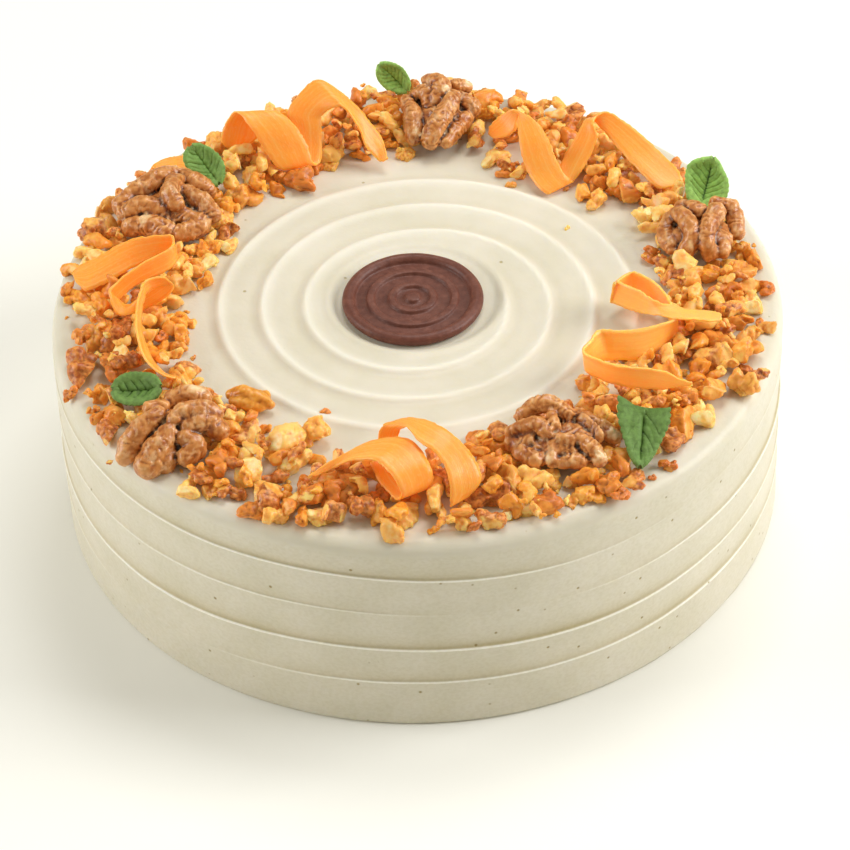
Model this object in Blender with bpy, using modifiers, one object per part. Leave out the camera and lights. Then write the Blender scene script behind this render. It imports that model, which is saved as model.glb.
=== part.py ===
"""A whole frosted carrot cake: a round cake under cream-cheese frosting, a chocolate disc in
the middle of its top, and a wreath of chopped walnuts that carries five walnut halves, five
fondant mint leaves and curled carrot ribbons.

Metres, +Z up. The origin is the centre of the cake's flat underside, and -Y is the front."""

import math
import random

import bmesh
import bpy
from mathutils import Matrix, Vector
from mathutils.bvhtree import BVHTree

MM = 0.001

CAKE_RADIUS = 120.0 * MM
CAKE_HEIGHT = 74.4 * MM
CAKE_TAPER = 1.2 * MM
CAKE_UNEVEN = 0.35 * MM
EDGE_ROUND = 4.5 * MM
LEDGE_HEIGHTS = (17.0 * MM, 30.5 * MM, 45.5 * MM, 61.0 * MM)
LEDGE_DEPTH = 0.9 * MM
LEDGE_WAVE = 1.4 * MM
DISH_RADIUS = 26.4 * MM
DISH_DEPTH = 0.7 * MM
# The spatula's spiral winds about a place in front of the cake's middle, and its outermost
# crest starts at this radius on the +X side.
SWIRL_CENTRE = Vector((0.0, -4.5 * MM))
SWIRL_START = 71.0 * MM
SWIRL_PITCH = 14.0 * MM
SWIRL_OUTER = 73.0 * MM
SWIRL_HEIGHT = 1.0 * MM
CAKE_STEPS = 52

DISC_CENTRE = Vector((-1.2 * MM, -2.3 * MM, 0.0))
DISC_RADIUS = 23.0 * MM
DISC_THICKNESS = 3.8 * MM
DISC_STEPS = 36

TOUCH_GAP = 0.3 * MM
NUT_BED_HEIGHT = 3.0 * MM
NUT_BED_STEPS = 54
# The wreath's inner and outer radius every 30 degrees, counted from +X towards +Y.
WREATH_INNER = [80, 84, 84, 82, 78, 75, 77, 82, 84, 82, 77, 81]
WREATH_OUTER = [110, 108, 112, 115, 114, 115, 112, 106, 105, 110, 110, 106]
CHUNK_SEED = 11
CHUNK_TRIES = 900
CHUNK_MOST = 101
CHUNK_SMALL = 2.4 * MM
CHUNK_LARGE = 4.6 * MM

RIBBON_THICKNESS = 1.0 * MM
RIBBON_STATION = 5.0 * MM

LEAF_THICKNESS = 1.8 * MM
LEAF_STEPS = 7
LEAF_CUP = 1.6 * MM

LOBE_SIDES = 6

BED_BOTTOM = CAKE_HEIGHT + TOUCH_GAP
BED_TOP = BED_BOTTOM + NUT_BED_HEIGHT

# The one large piece of walnut that lies on the bare frosting.
WALNUT_PIECE_PLACE = Vector((-52.5 * MM, -52.5 * MM, 0.0))
WALNUT_PIECE_HALF_SIZE = Vector((7.8 * MM, 4.4 * MM, 2.9 * MM))
WALNUT_PIECE_TURN = math.radians(-20)
WALNUT_PIECE_LIFT = 1.0 * MM

# Small stray nuts on the bare frosting: place, half length and half width, and the angle.
STRAY_NUTS = [
    (-34.0, -68.5, 3.6, 3.0, 40),
    (-29.5, -56.0, 1.9, 1.6, 0),
    (113.5, -3.5, 3.8, 2.8, 75),
    (111.0, -23.0, 3.8, 2.2, 10),
    (103.6, -45.2, 4.0, 3.0, -20),
    (100.6, -53.4, 3.4, 2.2, -30),
    (75.5, -87.0, 2.8, 1.8, 25),
]

# Each carrot ribbon is a strip between two edges. A pair gives both edges at one place, in
# millimetres, with the height counted from the top of the frosting.
CARROT_RIBBONS = {
    "carrot_ribbon_front_left": [
        ((-34.0, -94.3, 8.5), (-34.4, -95.7, 8.0)),
        ((-25.4, -89.7, 11.0), (-27.5, -92.3, 8.5)),
        ((-15.2, -85.2, 13.0), (-21.4, -92.5, 12.0)),
        ((-6.3, -86.1, 15.0), (-15.3, -95.0, 14.5)),
        ((-1.2, -90.5, 15.5), (-11.7, -97.9, 14.5)),
        ((2.3, -97.5, 14.0), (-8.2, -102.4, 13.0)),
        ((3.1, -100.2, 10.0), (-6.4, -105.1, 9.5)),
        ((0.8, -100.1, 6.5), (-7.7, -103.7, 6.0)),
        ((-2.0, -96.4, 4.8), (-10.0, -99.8, 4.8)),
        ((-5.5, -90.0, 5.5), (-13.2, -94.4, 5.5)),
        ((-7.3, -84.3, 7.0), (-15.5, -88.1, 7.0)),
    ],
    "carrot_ribbon_front_right": [
        ((-13.5, -78.2, 4.5), (-7.8, -81.0, 4.5)),
        ((-12.0, -78.1, 12.3), (-6.3, -79.6, 11.8)),
        ((-8.7, -76.9, 13.3), (-4.6, -83.0, 16.3)),
        ((-3.3, -78.2, 15.8), (-3.0, -86.1, 17.8)),
        ((3.1, -82.1, 17.3), (-0.3, -91.4, 17.8)),
        ((8.2, -86.7, 17.3), (4.0, -94.7, 16.3)),
        ((12.5, -90.4, 15.3), (6.6, -98.0, 14.3)),
        ((15.9, -94.4, 12.3), (8.1, -101.9, 11.3)),
        ((17.5, -99.1, 8.3), (8.3, -104.6, 7.3)),
        ((13.5, -102.2, 4.8), (8.2, -106.3, 4.6)),
    ],
    "carrot_ribbon_right": [
        ((96.4, -26.5, 11.0), (95.4, -34.1, 13.0)),
        ((90.6, -26.2, 11.5), (88.9, -33.2, 13.5)),
        ((84.5, -25.4, 12.0), (83.1, -32.4, 13.5)),
        ((75.7, -22.7, 13.5), (74.6, -24.8, 9.5)),
        ((71.2, -18.4, 14.0), (70.3, -19.5, 6.5)),
        ((64.8, -12.7, 13.5), (63.5, -12.2, 4.5)),
        ((63.3, -13.2, 13.5), (62.7, -11.3, 4.5)),
        ((67.5, -8.6, 13.5), (67.4, -7.4, 4.5)),
        ((71.0, -8.3, 13.5), (71.1, -7.0, 4.5)),
        ((77.5, -14.1, 12.5), (77.7, -13.5, 4.5)),
        ((81.0, -25.3, 12.5), (81.3, -24.7, 4.5)),
        ((81.4, -30.8, 12.5), (81.5, -29.1, 4.5)),
        ((71.7, -35.3, 13.0), (71.5, -39.8, 4.4)),
        ((62.0, -36.9, 13.5), (62.9, -40.5, 4.5)),
        ((57.0, -36.1, 13.5), (59.2, -40.8, 4.5)),
        ((53.9, -41.3, 13.5), (55.0, -42.2, 4.5)),
        ((51.5, -47.0, 13.5), (52.4, -45.3, 4.5)),
        ((60.2, -53.5, 13.5), (60.3, -53.2, 5.5)),
        ((73.3, -56.6, 13.5), (73.3, -58.8, 7.5)),
        ((83.6, -61.8, 13.5), (84.0, -62.4, 10.5)),
    ],
    "carrot_ribbon_left": [
        ((-112.7, 12.8, 6.5), (-110.1, 4.2, 5.5)),
        ((-106.2, 12.9, 9.5), (-105.1, 3.5, 5.0)),
        ((-92.8, 18.5, 13.5), (-91.8, 12.7, 6.5)),
        ((-81.8, 17.5, 15.5), (-81.7, 15.6, 8.5)),
        ((-78.8, 16.5, 15.5), (-77.9, 14.3, 8.5)),
        ((-79.4, 10.5, 15.5), (-80.7, 7.9, 8.5)),
        ((-88.7, 4.5, 14.0), (-90.5, 2.8, 7.0)),
        ((-97.4, -3.0, 11.5), (-95.7, -1.9, 5.5)),
        ((-98.5, -6.4, 10.0), (-96.0, -2.8, 4.8)),
        ((-95.6, -10.4, 5.0), (-92.5, -6.4, 6.0)),
        ((-87.2, -7.7, 5.5), (-86.7, -7.3, 11.5)),
        ((-79.9, -6.7, 9.5), (-81.5, -6.5, 15.0)),
        ((-78.0, -6.1, 13.5), (-80.6, -7.3, 17.5)),
        ((-85.1, -8.3, 13.5), (-85.7, -9.0, 18.0)),
        ((-86.9, -14.1, 14.0), (-87.7, -14.9, 18.0)),
        ((-87.6, -22.3, 11.0), (-88.6, -28.4, 16.0)),
        ((-85.5, -31.4, 7.5), (-85.6, -41.0, 12.5)),
        ((-80.5, -39.9, 5.5), (-80.0, -47.4, 10.5)),
        ((-76.2, -42.4, 5.0), (-75.9, -48.5, 9.5)),
    ],
    "carrot_ribbon_back_left": [
        ((-66.3, 79.7, 4.6), (-53.7, 80.8, 4.6)),
        ((-63.6, 81.9, 13.5), (-50.5, 84.0, 13.5)),
        ((-59.4, 81.4, 18.5), (-46.3, 81.7, 18.5)),
        ((-54.5, 75.1, 16.0), (-39.6, 76.1, 16.0)),
        ((-49.9, 70.2, 10.0), (-35.7, 71.7, 11.0)),
        ((-45.8, 66.5, 5.3), (-33.7, 68.5, 5.5)),
        ((-41.5, 69.2, 4.6), (-31.1, 71.9, 4.6)),
        ((-41.1, 78.5, 13.0), (-30.6, 77.9, 13.0)),
        ((-42.0, 82.6, 17.5), (-30.3, 80.5, 16.5)),
        ((-34.7, 89.2, 23.5), (-25.5, 79.7, 20.5)),
        ((-29.2, 90.1, 24.0), (-21.7, 78.1, 20.5)),
        ((-19.8, 84.4, 19.0), (-17.4, 75.5, 13.5)),
        ((-15.4, 81.3, 15.0), (-15.6, 72.4, 9.0)),
        ((-9.9, 76.5, 8.5), (-11.7, 70.2, 4.7)),
        ((-8.4, 69.9, 5.1), (-10.1, 69.5, 4.3)),
    ],
    "carrot_ribbon_back_right": [
        ((28.8, 78.8, 5.0), (26.0, 84.6, 4.6)),
        ((35.2, 75.1, 11.0), (29.5, 81.7, 12.0)),
        ((36.9, 78.9, 15.5), (35.9, 79.4, 17.0)),
        ((36.5, 69.4, 12.0), (44.4, 71.5, 15.0)),
        ((38.9, 61.2, 4.5), (49.7, 59.8, 7.5)),
        ((43.9, 53.0, 1.6), (52.7, 56.9, 4.0)),
        ((46.9, 53.9, 1.4), (55.0, 57.9, 2.4)),
        ((50.7, 64.0, 5.4), (59.2, 62.1, 6.4)),
        ((56.1, 69.2, 12.5), (63.1, 67.3, 13.0)),
        ((60.4, 74.4, 16.0), (61.8, 70.3, 17.5)),
        ((64.6, 71.3, 14.0), (67.2, 74.3, 18.5)),
        ((71.5, 63.1, 9.0), (77.3, 68.7, 13.5)),
        ((80.9, 50.1, 5.0), (87.4, 58.6, 8.0)),
        ((85.6, 47.1, 4.6), (92.0, 54.3, 5.5)),
    ],
    "carrot_ribbon_back_flat": [
        ((-89.6, 71.8, 4.6), (-87.3, 68.0, 4.6)),
        ((-83.7, 74.8, 4.9), (-82.4, 69.0, 4.6)),
        ((-78.2, 74.8, 5.5), (-76.3, 67.0, 4.8)),
        ((-72.7, 73.6, 5.1), (-71.4, 66.0, 4.7)),
    ],
}

# Each walnut half is a body with fat folds over it. A fold is a path of places with its
# radius, in millimetres from the half's centre, with the height counted from the frosting.
WALNUT_HALVES = {
    "walnut_half_back_left": {
        "centre": (-83, 44),
        "body": (12, 10.5, 4.2),
        "folds": [
            ((-14.5, 0, 9, 2.6), (-9, 5, 11, 2.8), (-2.5, 9, 13, 2.6), (2.5, 13, 12, 2)),
            ((3.5, 7, 13, 2.4), (2, -1, 14, 2.6), (4, -4.5, 12, 2.4)),
            ((-13.5, -4.5, 9, 2.2), (-7.5, -3, 11, 2.6), (-2, -4, 10, 2.6), (2, -5, 9, 2)),
            ((-11.5, -9, 6.4, 2.4), (-5.5, -9, 7, 3), (0.5, -12, 7, 3)),
            ((5.5, 12.5, 11, 2.2), (10, 9, 11, 2.6), (14, 7.5, 8, 2.2)),
            ((6.5, 3, 11, 2.4), (12, -1.5, 10, 3), (15.5, -5, 8, 2.6)),
            ((6.5, -5.5, 8, 2.6), (12, -9.5, 6.8, 2.8), (5.5, -13.5, 6.4, 2.4)),
        ],
    },
    "walnut_half_back": {
        "centre": (10, 91),
        "body": (9.5, 11.5, 4.2),
        "folds": [
            ((-11, 7, 9, 2.2), (-9, -3, 9, 2.8), (-9.5, -10, 6.5, 2.4)),
            ((5, 3.5, 13, 2.4), (2.5, -3, 12.5, 2.8), (-1, -9, 10.5, 3), (-3.5, -13, 7, 2.8)),
            ((-8, 9.5, 10, 2.2), (-4, 8, 12, 2.8), (-3, 3.5, 10, 2.4)),
            ((-3, 12.5, 14, 2.4), (1, 8.5, 15, 2.8), (-0.5, 4.5, 12, 2.8)),
            ((6, 12.5, 12, 2), (9.5, 13.5, 10, 2)),
            ((7.5, 5.5, 10, 2.8), (11.5, 3.5, 8, 2.8)),
            ((9, -1, 7, 2.4), (5, -8, 7, 2.4), (2, -13.5, 6, 2)),
        ],
    },
    "walnut_half_right_back": {
        "centre": (94, 20),
        "body": (10.5, 9, 4.0),
        "folds": [
            ((-7, 5.5, 12, 2.2), (-4, -1.5, 12.5, 2.4), (-3.5, -6.5, 10, 2.4), (-6, -8.5, 6, 2.2)),
            ((5.5, 4, 13, 2.4), (2, -3.5, 12.5, 2.4), (1, -7.5, 10, 2.4), (2.5, -9, 6, 2.2)),
            ((-9.5, 6, 9, 2), (-11.5, 0.5, 7, 2.2), (-10, -5, 6, 2)),
            ((-5.5, 9.5, 11, 2), (-1, 6.5, 12, 2.4), (2, 4, 11, 2)),
            ((6, 9.5, 12, 2), (10.5, 8.5, 11, 2.4)),
            ((12, 6.5, 9, 2.4), (12, 1, 7, 2.4)),
            ((7.5, -3, 7, 2.2), (6.5, -8, 6, 2)),
        ],
    },
    "walnut_half_right_front": {
        "centre": (43, -80),
        "body": (13, 8.5, 3.6),
        "folds": [
            ((-12.5, 8, 10, 1.8), (-9, 9.5, 12, 2.2), (-4, 10, 13, 2.4), (2, 7, 11, 1.8)),
            ((-15.5, 2, 9, 1.8), (-11.5, 2, 11, 2), (-7.5, 1.5, 12, 2.2), (-5, -1, 11, 2)),
            ((-2.5, 1, 12, 1.8), (-3, 5, 12, 1.6)),
            ((-15.5, -0.5, 6.5, 2), (-10, -1.5, 8, 2.2)),
            ((-13, -4.5, 6.2, 2.2), (-8.5, -7.5, 6.2, 2.4)),
            ((-3, -3.5, 8, 1.8), (-3.5, -8.5, 6, 2)),
            ((-1.5, -2.5, 9.5, 1.8), (2.5, -4, 9.5, 1.8)),
            ((5, -3, 9, 2), (8.5, -6, 8, 2.4), (10.5, -8.5, 6.2, 2.2)),
            ((-0.5, -9, 5.8, 1.8), (5, -9, 6, 2)),
            ((5, 9.5, 8.5, 1.8), (8.5, 6.5, 8.5, 2.2), (13.5, 3.5, 7, 2.2), (16, 1.5, 5.8, 1.8)),
        ],
    },
    "walnut_half_left_front": {
        "centre": (-76, -69),
        "body": (9, 8, 3.6),
        "folds": [
            ((-4.5, 2, 11, 2.2), (-9, -1, 8.5, 2.8), (-13, -4, 5, 2.8), (-14.5, -7, 3, 2.2)),
            ((-1, -4.5, 9.5, 2.2), (-4, -8, 7, 3), (-7, -12, 4, 3.2)),
            ((-1, -6, 6, 2.4), (-2, -10.5, 3.4, 2.4)),
            ((1, -1, 12, 1.8), (5, 1.5, 13, 2.2), (10, 2.5, 12.5, 2.2), (13.5, 2.5, 10, 1.8)),
            ((0, 12, 9, 2.2), (5, 12.5, 10, 2.4), (9, 12.5, 9, 2)),
            ((5.5, -2, 10, 2.4), (10.5, -0.5, 10, 2.8), (14, -2, 8, 2.4)),
            ((4.5, -5.5, 8, 2.4), (7.5, -8, 6.5, 2.4), (4.5, -10.5, 5, 2.2)),
            ((-7, 7.5, 9, 1.8), (-3.5, 8.5, 9, 1.8)),
        ],
    },
}

# Each mint leaf by its stem end, its tip and the middles of its two sides, in millimetres,
# with the height counted from the top of the frosting. The last pair says how soon it widens
# from its stem and from its tip: the smaller, the blunter.
MINT_LEAVES = {
    "mint_leaf_back": (
        ((-1.0, 111.0, 4.6), (-10.2, 113.8, 14.0), (-7.6, 112.1, 7.0), (1.0, 113.2, 11.0)),
        (0.55, 0.45),
    ),
    "mint_leaf_back_left": (
        ((-66.8, 56.8, 7.2), (-75.7, 67.3, 16.0), (-75.9, 60.5, 10.5), (-64.0, 63.4, 12.5)),
        (0.6, 0.4),
    ),
    "mint_leaf_right_back": (
        ((95.9, 37.2, 5.2), (100.3, 46.5, 18.0), (91.6, 44.1, 11.0), (105.7, 41.5, 11.5)),
        (0.65, 0.5),
    ),
    "mint_leaf_right_front": (
        ((68.1, -74.0, 13.0), (65.7, -91.6, 5.0), (76.1, -78.1, 9.5), (60.6, -78.0, 10.0)),
        (0.16, 0.7),
    ),
    "mint_leaf_left_front": (
        ((-80.5, -52.0, 9.0), (-95.2, -51.3, 8.0), (-87.2, -58.6, 6.8), (-86.7, -48.4, 11.0)),
        (0.45, 0.4),
    ),
}


def clear_scene():
    for obj in list(bpy.data.objects):
        bpy.data.objects.remove(obj, do_unlink=True)


def new_material(name, colour, roughness):
    material = bpy.data.materials.new(name)
    material.use_nodes = True
    shader = material.node_tree.nodes["Principled BSDF"]
    shader.inputs["Base Color"].default_value = (*colour, 1.0)
    shader.inputs["Roughness"].default_value = roughness
    shader.inputs["Metallic"].default_value = 0.0
    return material


def new_object(name, mesh, collection, material=None):
    obj = bpy.data.objects.new(name, mesh)
    collection.objects.link(obj)
    if material:
        mesh.materials.append(material)
    return obj


def mesh_from(bm, name):
    mesh = bpy.data.meshes.new(name)
    bm.to_mesh(mesh)
    bm.free()
    return mesh


def evaluated_mesh(obj):
    graph = bpy.context.evaluated_depsgraph_get()
    return bpy.data.meshes.new_from_object(obj.evaluated_get(graph))


def turned_bmesh(profile, steps):
    """A closed solid turned round Z from a profile of (radius, height) that starts and ends on the axis."""
    bm = bmesh.new()
    points = [bm.verts.new((radius, 0.0, height)) for radius, height in profile]
    edges = [bm.edges.new(pair) for pair in zip(points, points[1:])]
    bmesh.ops.spin(
        bm,
        geom=points + edges,
        cent=(0, 0, 0),
        axis=(0, 0, 1),
        dvec=(0, 0, 0),
        angle=math.tau,
        steps=steps,
        use_merge=True,
        use_duplicate=False,
    )
    bmesh.ops.remove_doubles(bm, verts=bm.verts[:], dist=1e-6)
    bmesh.ops.recalc_face_normals(bm, faces=bm.faces[:])
    return bm


def smooth_path(points, count):
    """Evenly counted places on a Catmull-Rom curve through the points."""
    ends = [points[0] * 2 - points[1]] + points + [points[-1] * 2 - points[-2]]
    found = []
    for k in range(count):
        place = k / (count - 1) * (len(points) - 1)
        i = min(int(place), len(points) - 2)
        t = place - i
        a, b, c, d = ends[i : i + 4]
        found.append(
            0.5 * (2 * b + (c - a) * t + (2 * a - 5 * b + 4 * c - d) * t**2 + (3 * b - a - 3 * c + d) * t**3)
        )
    return found


def ring_value(values, angle):
    """A smooth value round the ring, from values at equal angles."""
    place = angle % math.tau / math.tau * len(values)
    i = int(place)
    t = place - i
    blend = t * t * (3 - 2 * t)
    return values[i % len(values)] * (1 - blend) + values[(i + 1) % len(values)] * blend


def fuse(obj, others, solver):
    """Joins the objects of a collection to obj with one applied Boolean union, and removes them."""
    union = obj.modifiers.new("fuse", "BOOLEAN")
    union.operation = "UNION"
    union.operand_type = "COLLECTION"
    union.collection = others
    union.solver = solver
    mesh = evaluated_mesh(obj)
    obj.modifiers.clear()
    old = obj.data
    obj.data = mesh
    bpy.data.meshes.remove(old)
    for other in list(others.objects):
        bpy.data.objects.remove(other, do_unlink=True)
    bpy.data.collections.remove(others)


def keep_outer_body(obj):
    """Drops the loose scraps and sealed hollows that a union leaves, so that one body stays."""
    bm = bmesh.new()
    bm.from_mesh(obj.data)
    left = set(bm.faces)
    shells = []
    while left:
        first = left.pop()
        shell, front = {first}, [first]
        while front:
            face = front.pop()
            for edge in face.edges:
                for other in edge.link_faces:
                    if other in left:
                        left.remove(other)
                        shell.add(other)
                        front.append(other)
        shells.append(shell)
    largest = max(shells, key=lambda shell: sum(face.calc_area() for face in shell))
    scraps = [face for shell in shells if shell is not largest for face in shell]
    bmesh.ops.delete(bm, geom=scraps, context="FACES")
    bm.to_mesh(obj.data)
    bm.free()


def nut_chunk(rng, half_size):
    """A broken piece of nut: a pulled icosahedron with its corners shifted."""
    bm = bmesh.new()
    bmesh.ops.create_icosphere(bm, subdivisions=1, radius=1.0)
    for vert in bm.verts:
        vert.co *= rng.uniform(0.82, 1.12)
    bmesh.ops.scale(bm, vec=half_size, verts=bm.verts[:])
    return bm


def swirl_relief(x, y):
    """Height of the spatula's spiral ridge, which winds inwards as the angle grows."""
    radius = math.hypot(x, y)
    from_centre = Vector((x, y)) - SWIRL_CENTRE
    angle = math.atan2(from_centre.y, from_centre.x)
    turn = (from_centre.length - SWIRL_START) / SWIRL_PITCH + angle / math.tau
    ridge = SWIRL_HEIGHT * (0.15 + 0.85 * math.cos(math.tau * turn))
    fade_in = min(1.0, max(0.0, (radius - DISH_RADIUS - 0.5 * MM) / (4 * MM)))
    fade_out = min(1.0, max(0.0, (SWIRL_OUTER - radius) / (5 * MM)))
    return ridge * fade_in * fade_out


def frosting_profile():
    """From the middle of the top, over the rounded edge and down the ledges to the base."""
    dished = CAKE_HEIGHT - DISH_DEPTH
    profile = [(0.0, dished), (DISH_RADIUS, dished)]
    rings = 13
    for k in range(1, rings + 1):
        profile.append((DISH_RADIUS + (SWIRL_OUTER - DISH_RADIUS) * k / rings, CAKE_HEIGHT))
    top_radius = CAKE_RADIUS - CAKE_TAPER
    profile.append((top_radius - EDGE_ROUND, CAKE_HEIGHT))
    for degrees in (30, 60, 90):
        turn = math.radians(degrees)
        profile.append(
            (
                top_radius - EDGE_ROUND * (1 - math.sin(turn)),
                CAKE_HEIGHT - EDGE_ROUND * (1 - math.cos(turn)),
            )
        )
    for height in reversed(LEDGE_HEIGHTS):
        middle = CAKE_RADIUS - CAKE_TAPER * height / CAKE_HEIGHT
        profile.append((middle - LEDGE_DEPTH / 2, height + 1.0 * MM))
        profile.append((middle + LEDGE_DEPTH / 2, height - 0.6 * MM))
    profile.append((CAKE_RADIUS - 0.4 * MM, 1.2 * MM))
    profile.append((CAKE_RADIUS - 1.2 * MM, 0.0))
    profile.append((0.0, 0.0))
    return profile


def make_frosted_cake(collection, material):
    bm = turned_bmesh(frosting_profile(), CAKE_STEPS)
    for vert in bm.verts:
        x, y, z = vert.co
        radius = math.hypot(x, y)
        angle = math.atan2(y, x)
        if z > CAKE_HEIGHT - 0.1 * MM:
            vert.co.z += swirl_relief(x, y)
        if radius > CAKE_RADIUS - 12 * MM and z > 0.5 * MM:
            wave = math.sin(3 * angle + 0.6) + 0.6 * math.sin(7 * angle + z * 40)
            vert.co.xy *= 1 + CAKE_UNEVEN * wave / CAKE_RADIUS
        if radius > CAKE_RADIUS - 12 * MM and 10 * MM < z < CAKE_HEIGHT - 6 * MM:
            vert.co.z += LEDGE_WAVE * math.sin(2 * angle + z * 55)
    bmesh.ops.recalc_face_normals(bm, faces=bm.faces[:])
    cake = new_object("frosted_cake", mesh_from(bm, "frosted_cake"), collection, material)

    strays = bpy.data.collections.new("stray nuts")
    bpy.context.scene.collection.children.link(strays)
    rng = random.Random(CHUNK_SEED)
    for x, y, half_length, half_width, degrees in STRAY_NUTS:
        half_height = 0.75 * half_width
        chunk = nut_chunk(rng, Vector((half_length, half_width, half_height)) * MM)
        turn = Matrix.Rotation(math.radians(degrees), 4, "Z")
        place = Vector((x, y, 0)) * MM + Vector((0, 0, CAKE_HEIGHT + 0.55 * half_height * MM))
        bmesh.ops.transform(chunk, matrix=Matrix.Translation(place) @ turn, verts=chunk.verts[:])
        new_object("stray nut", mesh_from(chunk, "stray nut"), strays)
    fuse(cake, strays, "EXACT")
    keep_outer_body(cake)
    return cake


def make_walnut_piece(collection, material):
    """A broken lump of walnut, lying on the spiral's outermost ridge."""
    rng = random.Random(CHUNK_SEED)
    bm = bmesh.new()
    bmesh.ops.create_icosphere(bm, subdivisions=2, radius=1.0)
    for vert in bm.verts:
        vert.co *= rng.uniform(0.86, 1.0)
    bmesh.ops.scale(bm, vec=WALNUT_PIECE_HALF_SIZE, verts=bm.verts[:])
    height = CAKE_HEIGHT + WALNUT_PIECE_LIFT + TOUCH_GAP + WALNUT_PIECE_HALF_SIZE.z
    place = WALNUT_PIECE_PLACE + Vector((0, 0, height))
    turn = Matrix.Rotation(WALNUT_PIECE_TURN, 4, "Z")
    bmesh.ops.transform(bm, matrix=Matrix.Translation(place) @ turn, verts=bm.verts[:])
    return new_object("walnut_piece", mesh_from(bm, "walnut_piece"), collection, material)


def make_chocolate_disc(collection, material):
    """A moulded disc with a raised rim and a ring inside it."""
    top = DISC_THICKNESS
    profile = [
        (0.0, top - 0.5 * MM),
        (2.5 * MM, top - 0.9 * MM),
        (6.0 * MM, top - 1.1 * MM),
        (8.0 * MM, top - 0.6 * MM),
        (10.0 * MM, top - 1.1 * MM),
        (13.2 * MM, top - 1.1 * MM),
        (15.0 * MM, top - 0.4 * MM),
        (16.8 * MM, top - 1.0 * MM),
        (18.6 * MM, top - 0.9 * MM),
        (20.0 * MM, top),
        (22.0 * MM, top - 0.3 * MM),
        (DISC_RADIUS, top - 1.5 * MM),
        (DISC_RADIUS - 0.3 * MM, 0.4 * MM),
        (DISC_RADIUS - 0.9 * MM, 0.0),
        (0.0, 0.0),
    ]
    bm = turned_bmesh(profile, DISC_STEPS)
    rest = CAKE_HEIGHT - DISH_DEPTH + TOUCH_GAP
    bmesh.ops.translate(bm, vec=DISC_CENTRE + Vector((0, 0, rest)), verts=bm.verts[:])
    disc = new_object("chocolate_disc", mesh_from(bm, "chocolate_disc"), collection, material)
    disc.data.shade_smooth()
    disc.data.set_sharp_from_angle(angle=math.radians(50))
    return disc


def make_ribbon(name, stations, collection, material):
    """A peeled strip: one edge extruded from place to place, then given its thickness."""
    lift = Vector((0, 0, CAKE_HEIGHT))
    edge_a = [Vector(a) * MM + lift for a, b in stations]
    edge_b = [Vector(b) * MM + lift for a, b in stations]
    length = sum((q - p).length for p, q in zip(edge_a, edge_a[1:]))
    count = max(5, round(length / RIBBON_STATION) + 1)
    bm = bmesh.new()
    line_a = smooth_path(edge_a, count)
    line_b = smooth_path(edge_b, count)
    edge = bm.edges.new((bm.verts.new(line_a[0]), bm.verts.new(line_b[0])))
    for a, b in zip(line_a[1:], line_b[1:]):
        made = bmesh.ops.extrude_edge_only(bm, edges=[edge])["geom"]
        ends = [item for item in made if isinstance(item, bmesh.types.BMVert)]
        edge = next(item for item in made if isinstance(item, bmesh.types.BMEdge))
        if (ends[0].co - a).length + (ends[1].co - b).length > (ends[0].co - b).length + (ends[1].co - a).length:
            ends.reverse()
        ends[0].co, ends[1].co = a, b
    bmesh.ops.recalc_face_normals(bm, faces=bm.faces[:])
    ribbon = new_object(name, mesh_from(bm, name), collection, material)
    wall = ribbon.modifiers.new("thickness", "SOLIDIFY")
    wall.thickness = RIBBON_THICKNESS
    wall.offset = 0.0
    return ribbon


def make_leaf(name, places, blunt, collection, material):
    """A cupped leaf between its stem end, its tip and the middles of its sides."""
    stem, tip, left, right = [Vector(place) * MM + Vector((0, 0, CAKE_HEIGHT)) for place in places]
    bm = bmesh.new()
    bmesh.ops.create_grid(bm, x_segments=LEAF_STEPS, y_segments=4, size=0.5)
    side = (right - left) / 2
    across = side - (tip - stem) * side.dot(tip - stem) / (tip - stem).length_squared
    normal = (tip - stem).cross(across).normalized()
    if normal.z < 0:
        normal.negate()
    at_stem, at_tip = blunt
    widest = (at_stem / (at_stem + at_tip)) ** at_stem * (at_tip / (at_stem + at_tip)) ** at_tip
    for vert in bm.verts:
        along, out = vert.co.x + 0.5, vert.co.y * 2
        kept = min(max(along, 0.03), 0.97)
        width = kept**at_stem * (1 - kept) ** at_tip / widest
        place = stem.lerp(tip, along) + across * out * width
        vert.co = place + normal * LEAF_CUP * (abs(out) * width - 0.9 * math.sin(math.pi * along))
    bmesh.ops.recalc_face_normals(bm, faces=bm.faces[:])
    bmesh.ops.triangulate(bm, faces=bm.faces[:])
    leaf = new_object(name, mesh_from(bm, name), collection, material)
    wall = leaf.modifiers.new("thickness", "SOLIDIFY")
    wall.thickness = LEAF_THICKNESS
    wall.offset = 0.0
    return leaf


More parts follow.
